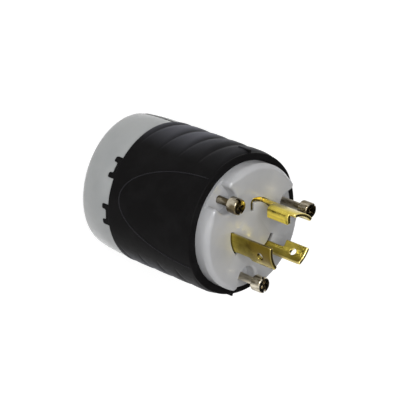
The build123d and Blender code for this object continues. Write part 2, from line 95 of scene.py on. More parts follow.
class PlugSizes(bpy.types.PropertyGroup):
    """Sizes of the plug's visible pieces, which repeat those of the solids that they dress."""

    sleeve_radius: length("Sleeve radius", "Outer radius of the grip sleeve", sleeve_radius_from_frame / mm)
    sleeve_rear: length("Sleeve rear", "Level at which the sleeve ends and the cord clamp begins", 20.4)
    rim_round: length("Rim round", "Rounding of the sleeve's outer edges", 0.5)
    front_bore: length("Front bore", "Radius of the sleeve's seat for the front body", 25.5)
    barrel_bore: length("Barrel bore", "Inner radius of the sleeve behind its ledge", 25.0)
    ledge: length("Ledge", "Level of the ledge under the front body", 57.2)
    lip_radius: length("Lip radius", "Inner radius of the lip that holds the cord clamp", 21.5)
    lip_length: length("Lip length", "Length of that lip", 4.0)
    rib_pitch: length("Rib pitch", "Distance between the creases of the finger ribs", 10.25)
    rib_first: length("First crease", "Distance of the first crease from the rim", 0.9)
    rib_depth: length("Rib depth", "Depth of the creases", 0.8)
    rib_land: length("Rib land", "How far a rib's arc would pass the plain sleeve", 0.12)
    rib_spread: turn("Rib spread", "Angle at which the ribs fade out", 45.0)
    crease_soft: length("Crease softness", "Softening of the bottom of each crease", 0.1)
    oval_half_width: length("Oval half width", "Half width of the raised line on the sleeve's side", 17.45)
    oval_length: length("Oval length", "Length of that line's half oval", 39.15)
    oval_line_width: length("Line width", "Width of the raised line", 0.6)
    oval_line_height: length("Line height", "Height of the raised line", 0.22)
    # Share of the ribs' painted sheen colour laid on the raised line
    oval_line_sheen: amount("Line tone", "How rubbed the raised line is", 0.16)
    pip_length: length("Pip length", "Length of the small bars near the rim", 6.5)
    pip_width: length("Pip width", "Width of those bars", 0.9)
    pip_height: length("Pip height", "Height of those bars", 0.45)
    pip_angle: turn("Pip angle", "Angle at which the first of those bars stands", 7.0)
    boss_radius: length("Boss radius", "Radius of the screw bosses inside the sleeve", 4.22)
    boss_length: length("Boss length", "Length of those bosses", 15.8)
    insert_radius: length("Insert radius", "Outer radius of the threaded inserts", 2.92)
    insert_length: length("Insert length", "Length of the threaded inserts", 10.0)

    disc_radius: length("Front radius", "Radius of the front body", 25.35)
    shoulder_reach: length("Shoulder reach", "Width of the front's soft shoulder", 2.3)
    shoulder_drop: length("Shoulder drop", "Height of the front's soft shoulder", 2.4)
    pocket_radius: length("Pocket radius", "Radius of the screw pockets", 4.7)
    pocket_reach: length("Pocket reach", "Width of the soft edge along the pockets", 1.25)
    pocket_drop: length("Pocket drop", "Height of the soft edge along the pockets", 1.3)
    pocket_corner: length("Pocket corner", "Rounding where a pocket opens at the rim", 1.7)
    pocket_floor: length("Pocket floor", "Level of the pockets' floors", 66.2)
    neck_gap: length("Neck gap", "Gap between a screw's neck and the lip round it", 0.12)
    neck_lip: length("Neck lip", "Thickness of that lip", 0.6)
    slot_gap: length("Slot gap", "Gap round a blade in its slot and a screw in its hole", 0.2)
    slot_round: length("Slot round", "Rounding of the slots' edges", 0.22)
    # Depths at which the painted shade on the slots' walls begins and is full
    slot_shade_start: length("Slot light", "Depth at which the slots' walls begin to darken", 0.7)
    slot_shade_full: length("Slot dark", "Depth at which the slots' walls are dark", 1.5)
    cut_level: length("Cut level", "Level inside the sleeve under which the front keeps its solid", 63.2)

    rear_radius: length("Clamp radius", "Radius of the cord clamp beside the sleeve", 28.55)
    clamp_front: length("Clamp front", "Level of the clamp's front face", 20.25)
    taper_top: length("Taper top", "Level at which the clamp begins to narrow", 16.3)
    taper_power: amount("Taper power", "Power of the narrowing curve", 1.75)
    rear_half_x: length("Rear half width", "Half width of the rear end along the split", 27.3)
    rear_half_y: length("Rear half depth", "Half width of the rear end across the split", 23.8)
    rear_round: length("Rear round", "Rounding of the rear edge", 3.2)
    split_gap: length("Split gap", "Gap between the clamp halves", 2.4)
    split_round: length("Split round", "Rounding of the edges along the split", 0.6)
    neck_radius: length("Clamp neck radius", "Radius of the clamp's neck in the sleeve's lip", 21.35)
    flange_radius: length("Flange radius", "Radius of the clamp's flange behind the lip", 24.7)
    flange_bottom: length("Flange bottom", "Level of the flange's underside", 24.55)
    cord_radius: length("Cord radius", "Radius of the cord passage", 9.0)
    cord_mouth: length("Cord mouth", "Rounding of the passage's mouth", 1.4)
    cord_grip_length: length("Cord grip", "Length of the passage's straight part", 13.0)
    funnel_radius: length("Funnel radius", "Radius of the passage's inner end", 17.0)
    tab_gap: length("Tab gap", "Gap round the tabs; the clamp screws' heads have twice as much", 0.15)
    clamp_screw_spacing: length("Clamp screw spacing", "Distance between the clamp screws", 33.0)
    clamp_screw_height: length("Clamp screw height", "Level of the clamp screws", 9.0)
    clamp_head_seat: length("Clamp head seat", "Depth of the seat of their heads from the split", 9.0)
    clamp_head_radius: length("Clamp head radius", "Radius of their heads", 3.5)
    clamp_head_height: length("Clamp head height", "Height of their heads", 2.6)
    clamp_screw_radius: length("Clamp screw radius", "Radius of their threads", 1.95)
    clamp_screw_end: length("Clamp screw end", "Length of their threads past the split", 11.7)
    clamp_insert_radius: length("Clamp insert radius", "Radius of the inserts for their threads", 3.22)
    clamp_insert_end: length("Clamp insert end", "Depth of those inserts from the split", 9.2)

    screw_circle: length("Screw circle", "Radius on which the assembly screws stand", 20.3)
    screw_head_radius: length("Head radius", "Radius of the assembly screws' heads", 3.2)
    screw_head_height: length("Head height", "Height of their heads", 4.5)
    screw_head_round: length("Head round", "Rounding of their heads", 0.6)
    screw_neck_radius: length("Neck radius", "Radius of their thin necks", 1.5)
    screw_thread_radius: length("Thread radius", "Radius of their threads", 1.75)
    screw_thread_length: length("Thread length", "Length of their threads", 10.0)
    screw_length: length("Screw length", "Length under the head", 24.0)
    thread_pitch: length("Thread pitch", "Pitch of the threads", 0.8)
    thread_depth: length("Thread depth", "Depth of the threads", 0.4)
    drive_width: length("Drive width", "Width of the slot and cross in the heads", 1.1)
    drive_depth: length("Drive depth", "Depth of the slot and cross", 1.5)
    drive_cross: length("Drive cross", "Length of the short arm of the cross", 3.6)

    blade_radius: length("Blade radius", "Mean radius on which the blades curve", 11.6)
    blade_thickness: length("Blade thickness", "Thickness of the blades", 1.5)
    blade_edge: length("Blade edge", "Rounding of the blades' edges", 0.22)
    blade_tip: length("Blade tip", "Rounding of the blades' tips", 0.45)
    blade_corner: length("Blade corner", "Rounding of the corners of the blades' outline", 0.6)
    blade_hole: length("Blade hole", "Radius of the hole in each blade", 1.5)
    notch_height: length("Notch height", "Height of the locking notch above the face", 8.2)
    lip_inner: length("Lip end", "Radius at which the ground blade's lip ends", 7.6)
    lip_bend: length("Lip bend", "Bend radius of that lip, at the middle of the strip", 1.25)
    lip_tip_drop: length("Lip drop", "How far that lip ends under the blade's tip", 2.6)
    chamber_top: length("Chamber top", "Level at which the blades join their terminals", 56.0)
    blade_overlap: length("Blade overlap", "How far strip and terminal run past that level", 0.3)


class PlugColours(bpy.types.PropertyGroup):
    """Colours of the plug's finishes."""

    nylon: tint("Nylon", "Main colour of the white nylon", (0.57, 0.585, 0.585))
    nylon_shade: tint("Nylon shade", "Cloudier patches in the nylon", (0.50, 0.515, 0.52))
    # Painted shade inside the blade slots
    nylon_painted_slot_shade: tint("Nylon, deep", "Colour of the nylon inside the blade slots", (0.06, 0.06, 0.06))
    front_cast: tint("Front cast", "Share of each channel in the front's nylon", (1.0, 0.98, 1.0))
    # The clamp's nylon is darkened as painted shade
    rear_painted_shade: tint("Rear cast", "Share of each channel in the clamp's nylon", (0.92, 0.925, 0.92))
    guide_cast: tint("Guide cast", "Share of each channel in the guide's nylon", (1.0, 1.0, 0.92))
    grip: tint("Grip", "Main colour of the black grip", (0.0086, 0.0082, 0.0084))
    # Painted sheen: a lighter colour laid on the crests of the ribs
    grip_painted_sheen: tint("Grip, crests", "Colour of the rubbed crests of the ribs", (0.125, 0.125, 0.142))
    grip_worn: tint("Grip, rubbed", "Colour of the grip where it is rubbed", (0.0134, 0.0128, 0.0132))
    brass: tint("Brass", "Colour of the blades", (0.94, 0.77, 0.14))
    # The dull colour also carries the blades' painted dark reflections and shade
    brass_dull: tint("Brass, dull", "Colour of the blades where they are tarnished", (0.12, 0.082, 0.009))
    # Rubbed edges, lighter also as a painted highlight
    brass_edge_wear_and_highlight: tint("Brass, edge", "Colour of the blades' rubbed edges", (0.80, 0.66, 0.26))
    nickel: tint("Nickel", "Colour of the plated screws", (0.64, 0.59, 0.48))
    # The dull colour also carries the screws' painted dark reflections
    nickel_dull: tint("Nickel, dull", "Colour of the plating in its duller patches", (0.11, 0.085, 0.045))
    steel: tint("Steel", "Colour of the pressure plates", (0.55, 0.55, 0.54))
    green: tint("Green", "Colour of the ground terminal's screw", (0.03, 0.20, 0.06))
    green_dull: tint("Green, dull", "Colour of that screw in its duller patches", (0.02, 0.12, 0.04))


class PlugStage(bpy.types.PropertyGroup):
    """Camera, lamps and floor."""

    view_azimuth: turn("View azimuth", "Camera's direction round the plug", 165.744)
    view_elevation: turn("View elevation", "Camera's angle above the floor", 40.633)
    view_roll: turn("View roll", "Camera's turn about its own axis", 111.3)
    view_distance: length("View distance", "Camera's distance from the point it looks at", 958.2)
    view_point: FloatVectorProperty(
        name="View point", description="Point that the camera looks at", size=3,
        subtype="TRANSLATION", unit="LENGTH", default=(0.00557, 0.01103, 0.05115),
    )
    lens: amount("Lens", "Focal length in millimetres on a 36 mm sensor", 225.0)
    key_power: amount("Key power", "Power of the large soft lamp in watts", 11.6)
    fill_power: amount("Fill power", "Power of the fill lamp in watts", 0.4)
    glint_power: amount("Glint power", "Power of the small lamp in watts, which only glints", 6.0)
    ambient: amount("Ambient", "Strength of the room's even light", 0.22)
    floor_size: length("Floor size", "Width of the floor", 6000.0)
    flag_size: length("Flag size", "Width of the dark flag that the metal reflects", 900.0)
    floor_glow: amount("Floor glow", "Share of white that the floor shows to the camera by itself", 0.82)


# Values of each blade and screw: angles in degrees, lengths in metres, tones from 0, bright, to 1, dull;
# the blades' and screws' tones are painted reflections and shade
blade_angles = {"ground": (-34.0, 25.0), "neutral": (98.5, 147.5), "hot": (-137.0, -101.0)}
neck_ends = {"ground": -8.0, "neutral": 138.0, "hot": -116.0}
hole_heights = {"ground": 13.4 * mm, "neutral": 14.6 * mm, "hot": 13.4 * mm}
hole_angles = {"ground": -21.0, "neutral": 123.0, "hot": -119.0}
notch_sinks = {"ground": 0.7 * mm, "neutral": 2.6 * mm, "hot": 2.6 * mm}
# How much edge wear and painted highlight each blade gets
edge_wear_and_highlight = {"ground": 1.0, "neutral": 0.3, "hot": 1.0}
# Painted reflection and shade on the blades: dark below the face, a duller hot blade, a bright ground lip,
# the wide blade darker towards its tip
buried_painted_shade = 1.0
hot_painted_reflection = 0.63
lip_painted_highlight = 0.0
ground_painted_reflection_low = 0.3
ground_painted_reflection_high = 0.5
ground_painted_reflection_drop = 0.3
neutral_painted_reflection = 0.5
neutral_painted_dark_reflection = 0.65
neutral_painted_dark_rate = 1.6
neutral_painted_light_reflection = 0.6
neutral_painted_light_start = 0.4
screw_angles = (60.0, 187.5, 300.0)
screw_backed_out = (6.7 * mm, 9.4 * mm, 11.9 * mm)
screw_turns = (25.0, 25.0, 140.0)
# Painted reflections: how dark each screw's head and neck are drawn
screw_painted_reflections = (1.0, 0.5, 1.05)
neck_painted_reflections = (0.0, 0.1, 0.3)
clamp_screw_tone = 0.4


# Mesh helpers


class Skin:
    """Vertices and faces gathered for one mesh, with a mark on each vertex that its finish reads."""

    def __init__(self):
        self.vertices = []
        self.faces = []
        self.marks = []

    def add(self, vertices, faces, marks=None):
        """Add vertices and faces, with a mark for each vertex or none."""
        base = len(self.vertices)
        self.vertices += [Vector(v) for v in vertices]
        self.marks += marks or [0.0] * len(vertices)
        self.faces += [tuple(base + i for i in f) for f in faces]

    def add_rings(self, rings, loop=False, closed=True, marks=None):
        """Skin a stack of rings with equal counts and a mark for each ring; loop joins its ends."""
        count = len(rings[0])
        spread = [mark for mark in marks or [0.0] * len(rings) for _ in range(count)]
        faces = []
        for i in range(len(rings) if loop else len(rings) - 1):
            above = (i + 1) % len(rings)
            for j in range(count if closed else count - 1):
                k = (j + 1) % count
                faces.append((i * count + j, i * count + k, above * count + k, above * count + j))
        self.add([p for ring in rings for p in ring], faces, spread)

    def add_capped(self, rings):
        """Skin a stack of rings and close both of its ends."""
        self.add_rings(rings)
        for ring in (rings[0], rings[-1]):
            self.add(ring, [tuple(range(len(ring)))])

    def add_flat(self, outer, holes, level):
        """Fill a flat outline with holes at a level."""
        points, triangles = fill_outline(outer, holes)
        self.add(at_level(points, level), triangles)

    def add_bmesh(self, bm):
        """Add a bmesh, and free it."""
        bm.verts.index_update()
        self.add([v.co.copy() for v in bm.verts], [[v.index for v in f.verts] for f in bm.faces])
        bm.free()

    def add_node(self, node, level, keep_below=True):
        """Add a copy of a solid's mesh, cut off flat at a level and closed there."""
        bm = bmesh.new()
        bm.from_mesh(bpy.data.objects[node].data)
        bmesh.ops.remove_doubles(bm, verts=bm.verts, dist=weld_distance)
        cut = bmesh.ops.bisect_plane(
            bm, geom=bm.verts[:] + bm.edges[:] + bm.faces[:], plane_co=(0, 0, level), plane_no=(0, 0, 1),
            clear_outer=keep_below, clear_inner=not keep_below,
        )
        rim_edges = [e for e in cut["geom_cut"] if isinstance(e, bmesh.types.BMEdge)]
        bmesh.ops.triangle_fill(bm, edges=rim_edges, use_beauty=True, normal=(0, 0, 1))
        self.add_bmesh(bm)

    def piece(self, name, material=None, sharp=sharp_limit, tone=None):
        """Make the object, with doubles merged, faces outwards and hard edges kept."""
        mesh = bpy.data.meshes.new(name)
        mesh.from_pydata(self.vertices, [], self.faces)
        made = bpy.data.objects.new(name, mesh)
        write_values(made, "mark", self.marks)
        if tone is not None:
            give_tone(made, tone)
        return finish_mesh(made, material, sharp)


def write_values(obj, name, values):
    """Write a number for each vertex, under a name that the finishes read."""
    layer = obj.data.attributes.new(name, "FLOAT", "POINT")
    layer.data.foreach_set("value", values)


def give_tone(obj, tone):
    """Write the tone of each vertex, worked out from its place."""
    write_values(obj, "tone", [tone(v.co) for v in obj.data.vertices])


def finish_mesh(obj, material, sharp=sharp_limit):
    """Merge doubles, turn faces outwards, keep edges over an angle hard, and place the object."""
    bm = bmesh.new()
    bm.from_mesh(obj.data)
    bmesh.ops.remove_doubles(bm, verts=bm.verts, dist=weld_distance)
    bmesh.ops.dissolve_degenerate(bm, dist=weld_distance / 10, edges=bm.edges)
    bmesh.ops.recalc_face_normals(bm, faces=bm.faces)
    for polygon in bm.faces:
        polygon.smooth = True
    for edge in bm.edges:
        edge.smooth = len(edge.link_faces) == 2 and edge.calc_face_angle(pi) < sharp
    bm.to_mesh(obj.data)
    bm.free()
    if material is not None:
        obj.data.materials.clear()
        obj.data.materials.append(material)
    if obj.name not in bpy.context.scene.collection.objects:
        bpy.context.scene.collection.objects.link(obj)
    return obj


def settle(obj):
    """Turn an object's modifiers into its own mesh."""
    graph = bpy.context.evaluated_depsgraph_get()
    mesh = bpy.data.meshes.new_from_object(obj.evaluated_get(graph), depsgraph=graph)
    obj.modifiers.clear()
    obj.data = mesh
    return obj


def cut_away(obj, cutter):
    """Cut one closed mesh out of another, and remove the cutter."""
    modifier = obj.modifiers.new("cut", "BOOLEAN")
    modifier.operation = "DIFFERENCE"
    modifier.solver = "EXACT"
    modifier.object = cutter
    settle(obj)
    bpy.data.objects.remove(cutter)


def clamped(value, low=0.0, high=1.0):
    """A value kept between two limits."""
    return min(high, max(low, value))


def around(count):
    """Evenly spaced angles round a circle."""
    return [2 * pi * i / count for i in range(count)]


def direction(angle):
    """A unit vector in the plane, at an angle in radians."""
    return Vector((cos(angle), sin(angle)))


def polar(radius, angle):
    """A point in the plane at a radius and an angle in degrees."""
    return Vector((radius * cos(radians(angle)), radius * sin(radians(angle))))


def at_level(points, level):
    """Points of the plane, set at a level."""
    return [(p[0], p[1], level) for p in points]


def circle(radius, level, count, centre=(0.0, 0.0)):
    """A ring of points at a level."""
    return [(centre[0] + radius * cos(a), centre[1] + radius * sin(a), level) for a in around(count)]


def steps(first, last, count):
    """Evenly spaced numbers, both ends included."""
    return [first + (last - first) * i / count for i in range(count + 1)]


def inside(point, loop):
    """Whether a point lies inside a closed outline."""
    x, y = point[0], point[1]
    result = False
    for i, a in enumerate(loop):
        b = loop[i - 1]
        if (a[1] > y) != (b[1] > y) and x < (b[0] - a[0]) * (y - a[1]) / (b[1] - a[1]) + a[0]:
            result = not result
    return result


def fill_outline(outer, holes=(), extra=()):
    """Triangles over an outline with holes, with extra points inside it."""
    inside_only = 1
    tolerance = 1e-7
    points, edges = [], []
    for loop in (outer, *holes):
        base = len(points)
        points += [Vector((p[0] / mm, p[1] / mm)) for p in loop]
        edges += [(base + i, base + (i + 1) % len(loop)) for i in range(len(loop))]
    points += [Vector((p[0] / mm, p[1] / mm)) for p in extra]
    found = delaunay_2d_cdt(points, edges, [], inside_only, tolerance)
    corners = [p * mm for p in found[0]]
    kept = []
    for triangle in found[2]:
        middle = sum((corners[i] for i in triangle), Vector((0.0, 0.0))) / 3
        if not any(inside(middle, hole) for hole in holes):
            kept.append(tuple(triangle))
    return corners, kept


def rounded_outline(corners, step):
    """A closed outline with each corner (x, y, radius) rounded and its runs divided."""
    line = []
    count = len(corners)
    for i, (x, y, radius) in enumerate(corners):
        here = Vector((x, y))
        back = (Vector(corners[i - 1][:2]) - here).normalized()
        on = (Vector(corners[(i + 1) % count][:2]) - here).normalized()
        half = back.angle(on) / 2
        centre = here + (back + on).normalized() * radius / sin(half)
        first = here + back * radius / tan(half) - centre
        last = here + on * radius / tan(half) - centre
        start = atan2(first.y, first.x)
        sweep = (atan2(last.y, last.x) - start + pi) % (2 * pi) - pi
        line += [centre + radius * direction(start + a) for a in steps(0, sweep, 6)]
    divided = []
    for a, b in zip(line, line[1:] + line[:1]):
        parts = max(1, ceil((b - a).length / step))
        divided += [a.lerp(b, k / parts) for k in range(parts)]
    return divided


def inset(loop, distance):
    """An outline moved to its left side, by one distance or by one for each point."""
    moved = []
    count = len(loop)
    for i, point in enumerate(loop):
        along = Vector(loop[(i + 1) % count]) - Vector(loop[i - 1])
        left = Vector((-along.y, along.x)).normalized()
        moved.append(Vector(point) + left * (distance[i] if isinstance(distance, list) else distance))
    return moved


# Finishes


def finish_tree(name):
    """A new material: itself, its tree and its Principled shader."""
    material = bpy.data.materials.new(name)
    material.use_nodes = True
    tree = material.node_tree
    return material, tree, tree.nodes["Principled BSDF"]


def feed(tree, node, inputs):
    """Link sockets to a node's inputs, and set plain values on them directly."""
    for key, value in inputs.items():
        if isinstance(value, bpy.types.NodeSocket):
            tree.links.new(value, node.inputs[key])
        else:
            node.inputs[key].default_value = value


def add_node(tree, kind, inputs=None, **settings):
    """Add a node with its settings and inputs."""
    node = tree.nodes.new(kind)
    for key, value in settings.items():
        setattr(node, key, value)
    feed(tree, node, inputs or {})
    return node


def vertex_value(tree, name):
    """The number that a mesh carries for each vertex under a name."""
    return add_node(tree, "ShaderNodeAttribute", attribute_name=name).outputs["Fac"]


def combine(tree, operation, first, second, clamp=False):
    """Two numbers put together by a Math node."""
    node = add_node(tree, "ShaderNodeMath", {0: first, 1: second}, operation=operation, use_clamp=clamp)
    return node.outputs[0]


def place_of(tree, scale=(1.0, 1.0, 1.0)):
    """Object coordinates, stretched along the axes."""
    coordinate = add_node(tree, "ShaderNodeTexCoord")
    mapping = add_node(tree, "ShaderNodeMapping", {"Vector": coordinate.outputs["Object"], "Scale": scale})
    return mapping.outputs["Vector"]


def noise(tree, scale, detail=4.0, roughness=0.55, stretch=(1.0, 1.0, 1.0)):
    """A noise pattern, its scale in cells for each metre."""
    node = add_node(
        tree, "ShaderNodeTexNoise",
        {"Vector": place_of(tree, stretch), "Scale": scale, "Detail": detail, "Roughness": roughness},
    )
    return node.outputs["Fac"]


def between(tree, value, low, high, first=0.0, last=1.0):
    """Map a value from one range to another."""
    node = add_node(
        tree, "ShaderNodeMapRange",
        {"Value": value, "From Min": low, "From Max": high, "To Min": first, "To Max": last},
    )
    return node.outputs["Result"]


def blend_colours(tree, factor, first, second):
    """Mix two colours, each a socket or a plain colour."""
    colours = [c if isinstance(c, bpy.types.NodeSocket) else (*c, 1.0) for c in (first, second)]
    node = add_node(tree, "ShaderNodeMix", {0: factor, 6: colours[0], 7: colours[1]}, data_type="RGBA")
    return node.outputs[2]


def bump(tree, shader, heights):
    """Stack bumps onto a shader's normal, each (height, strength, distance)."""
    inputs = {}
    for height, strength, distance in heights:
        inputs.update({"Height": height, "Strength": strength, "Distance": distance})
        inputs["Normal"] = add_node(tree, "ShaderNodeBump", inputs).outputs["Normal"]
    feed(tree, shader, {"Normal": inputs["Normal"]})


def nylon_finish(name, colours, cast):
    """White moulded nylon: satin, cloudy, a little translucent, and painted dark as shade where the mesh is
    marked, deep in the slots.
    """
    material, tree, shader = finish_tree(name)
    plain = [c * w for c, w in zip(colours.nylon, cast)]
    shade = [c * w for c, w in zip(colours.nylon_shade, cast)]
    clouded = blend_colours(tree, between(tree, noise(tree, 60.0, 3.0), 0.35, 0.7), plain, shade)
    feed(tree, shader, {
        # The mark paints shade deep in the slots
        "Base Color": blend_colours(tree, vertex_value(tree, "mark"), clouded, colours.nylon_painted_slot_shade),
        "Roughness": between(tree, noise(tree, 900.0, 2.0), 0.3, 0.7, 0.13, 0.18),
        "Subsurface Weight": 0.25,
        "Subsurface Radius": (1.0, 0.95, 0.85),
        "Subsurface Scale": 1.5 * mm,
        "IOR": 1.53,
        "Specular IOR Level": 0.45,
    })
    bump(tree, shader, [
        (noise(tree, 2600.0, 2.0), 0.02, 0.1 * mm),
        (noise(tree, 130.0, 2.0), 0.06, 0.4 * mm),
    ])
    return material


def grip_finish(name, colours):
    """Black moulded grip: matt, finely grained, randomly rubbed, and lighter on the crests of its ribs with
    a painted sheen, where a cool Sheen also rises.
    """
    material, tree, shader = finish_tree(name)
    rubbed = between(tree, noise(tree, 110.0, 5.0, 0.6), 0.45, 0.75)
    plain = blend_colours(tree, rubbed, colours.grip, colours.grip_worn)
    # The tone is the painted sheen on the ribs' crests
    crest = vertex_value(tree, "tone")
    feed(tree, shader, {
        "Base Color": blend_colours(tree, crest, plain, colours.grip_painted_sheen),
        "Roughness": between(tree, noise(tree, 700.0, 2.0), 0.3, 0.7, 0.36, 0.46),
        "Specular IOR Level": 0.02,
        "Sheen Weight": between(tree, crest, 0.0, 1.0, 0.0, 0.18),
        "Sheen Roughness": 0.45,
        "Sheen Tint": (0.62, 0.66, 0.85, 1.0),
    })
    grain = add_node(
        tree, "ShaderNodeTexVoronoi", {"Vector": place_of(tree), "Scale": 1900.0}, feature="SMOOTH_F1"
    )
    bump(tree, shader, [
        (grain.outputs["Distance"], 0.16, 0.12 * mm),
        (noise(tree, 4200.0, 2.0), 0.10, 0.06 * mm),
    ])
    return material


def brass_finish(name, colours):
    """Stamped brass: toned by its mesh with painted reflections and shade, with drawn lines, random tarnish
    patches, and rubbed edges that also carry a painted highlight.
    """
    material, tree, shader = finish_tree(name)
    patches = between(tree, noise(tree, 150.0, 6.0, 0.62), 0.35, 0.70, -0.18, 0.18)
    # Painted reflection and shade from the mesh's tone, with random tarnish patches
    tarnish_and_painted_reflection = combine(tree, "ADD", vertex_value(tree, "tone"), patches, clamp=True)
    drawn = noise(tree, 1500.0, 3.0, 0.6, (1.0, 1.0, 0.03))
    base = blend_colours(tree, tarnish_and_painted_reflection, colours.brass, colours.brass_dull)
    lines = blend_colours(tree, between(tree, drawn, 0.35, 0.75, 0.0, 0.35), base, colours.brass_dull)
    # Rubbed edges with a painted highlight
    worn_and_highlit = between(tree, vertex_value(tree, "mark"), 0.0, 1.0, 0.0, 0.7)
    feed(tree, shader, {
        "Base Color": blend_colours(tree, worn_and_highlit, lines, colours.brass_edge_wear_and_highlight),
        "Roughness": between(tree, tarnish_and_painted_reflection, 0.0, 0.4, 0.60, 0.24),
        "Metallic": 1.0,
    })
    bump(tree, shader, [(drawn, 0.12, 0.06 * mm), (noise(tree, 420.0, 4.0), 0.10, 0.1 * mm)])
    return material


def plated_finish(name, colour, dull, rough=(0.12, 0.24)):
    """Turned and plated metal: fine turning marks, duller streaks and toned places painted as reflections,
    and matt where the mesh is marked.
    """
    material, tree, shader = finish_tree(name)
    # Streaks along the axis are painted reflections
    painted_reflection_streaks = between(tree, noise(tree, 420.0, 4.0, 0.6, (1.0, 1.0, 0.2)), 0.38, 0.62, -0.5, 0.5)
    # These patches are the painted reflections: the mesh's tone with the streaks
    patches = combine(tree, "ADD", vertex_value(tree, "tone"), painted_reflection_streaks, clamp=True)
    plain = between(tree, patches, 0.0, 1.0, *rough)
    matt = between(tree, vertex_value(tree, "mark"), 0.0, 1.0, 0.0, 0.5)
    feed(tree, shader, {
        "Base Color": blend_colours(tree, patches, colour, dull),
        "Roughness": combine(tree, "MAXIMUM", plain, matt),
        "Metallic": 1.0,
    })
    turned = noise(tree, 2400.0, 2.0, 0.5, (0.15, 0.15, 1.0))
    bump(tree, shader, [(turned, 0.10, 0.05 * mm), (noise(tree, 900.0, 3.0), 0.08, 0.08 * mm)])
    return material


def finishes(context):
    """All finishes of the plug, made once."""
    colours = context.scene.locking_plug_colours
    makers = {
        # The clamp's nylon carries painted shade
        "white_nylon": (nylon_finish, colours, colours.rear_painted_shade),
        "front_nylon": (nylon_finish, colours, colours.front_cast),
        "guide_nylon": (nylon_finish, colours, colours.guide_cast),
        "black_grip": (grip_finish, colours),
        "blade_brass": (brass_finish, colours),
        "screw_nickel": (plated_finish, colours.nickel, colours.nickel_dull),
        "insert_brass": (plated_finish, colours.brass, colours.brass_dull, (0.30, 0.45)),
        "terminal_silver": (plated_finish, colours.steel, colours.nickel_dull, (0.25, 0.40)),
        "terminal_green": (plated_finish, colours.green, colours.green_dull, (0.35, 0.50)),
        "plate_steel": (plated_finish, colours.steel, colours.nickel_dull, (0.30, 0.45)),
    }
    made = {}
    for slot, (maker, *values) in makers.items():
        name = f"{slot}_finish"
        made[slot] = bpy.data.materials.get(name) or maker(name, *values)
    return made


def dress(obj, slot, *nodes):
    """Let a finished piece ride on the plug's one body, in place of the solids that it stands for."""
    if nodes:
        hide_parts(*nodes)
    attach(obj, "root")


# Geometry Nodes


def node_tree(name, inputs):
    """A geometry tree with geometry, a material and named inputs: the tree, its start and its end."""
    tree = bpy.data.node_groups.new(name, "GeometryNodeTree")
    tree.interface.new_socket("Geometry", in_out="INPUT", socket_type="NodeSocketGeometry")
    tree.interface.new_socket("Geometry", in_out="OUTPUT", socket_type="NodeSocketGeometry")
    for label, kind in (*inputs, ("Material", "NodeSocketMaterial")):
        tree.interface.new_socket(label, in_out="INPUT", socket_type=kind)
    return tree, tree.nodes.new("NodeGroupInput"), tree.nodes.new("NodeGroupOutput")


def end_tree(tree, start, end, geometry):
    """End a geometry tree: make its instances real and give the result the tree's material."""
    real = add_node(tree, "GeometryNodeRealizeInstances", {"Geometry": geometry})
    painted = add_node(
        tree, "GeometryNodeSetMaterial",
        {"Geometry": real.outputs["Geometry"], "Material": start.outputs["Material"]},
    )
    feed(tree, end, {"Geometry": painted.outputs["Geometry"]})
    return tree


def run_tree(obj, tree, values):
    """Run a geometry tree on an object, with its inputs set by name, and keep the result as its mesh."""
    modifier = obj.modifiers.new(tree.name, "NODES")
    modifier.node_group = tree
    for item in tree.interface.items_tree:
        if item.in_out == "INPUT" and item.name in values:
            modifier[item.identifier] = values[item.name]
    return settle(obj)


def bead_tree():
    """Draw a flat raised bead along the edges of a path."""
    tree, start, end = node_tree(
        "raised_bead",
        [("Width", "NodeSocketFloat"), ("Height", "NodeSocketFloat"), ("Sides", "NodeSocketInt")],
    )
    path = add_node(tree, "GeometryNodeMeshToCurve", {"Mesh": start.outputs["Geometry"]})
    ring = add_node(
        tree, "GeometryNodeCurvePrimitiveCircle", {"Resolution": start.outputs["Sides"], "Radius": 1.0}
    )
    half = combine(tree, "MULTIPLY", start.outputs["Width"], 0.5)
    size = add_node(tree, "ShaderNodeCombineXYZ", {"X": half, "Y": start.outputs["Height"], "Z": 1.0})
    profile = add_node(
        tree, "GeometryNodeTransform", {"Geometry": ring.outputs["Curve"], "Scale": size.outputs["Vector"]}
    )
    up = add_node(tree, "GeometryNodeInputNamedAttribute", {"Name": "outward"}, data_type="FLOAT_VECTOR")
    tilted = add_node(
        tree, "GeometryNodeSetCurveNormal",
        {"Curve": path.outputs["Curve"], "Normal": up.outputs["Attribute"]}, mode="FREE",
    )
    bead = add_node(
        tree, "GeometryNodeCurveToMesh",
        {"Curve": tilted.outputs["Curve"], "Profile Curve": profile.outputs["Geometry"], "Fill Caps": True},
    )
    return end_tree(tree, start, end, bead.outputs["Mesh"])


def instance_tree():
    """Stand a copy of a model on each point, turned by the point's own angles."""
    tree, start, end = node_tree("fasteners_on_points", [("Fastener", "NodeSocketObject")])
    model = add_node(
        tree, "GeometryNodeObjectInfo", {"Object": start.outputs["Fastener"], "As Instance": True}
    )
    angles = add_node(tree, "GeometryNodeInputNamedAttribute", {"Name": "turns"}, data_type="FLOAT_VECTOR")
    turned = add_node(tree, "FunctionNodeEulerToRotation", {"Euler": angles.outputs["Attribute"]})
    points = add_node(
        tree, "GeometryNodeInstanceOnPoints",
        {"Points": start.outputs["Geometry"], "Instance": model.outputs["Geometry"],
         "Rotation": turned.outputs["Rotation"]},
    )
    return end_tree(tree, start, end, points.outputs["Instances"])


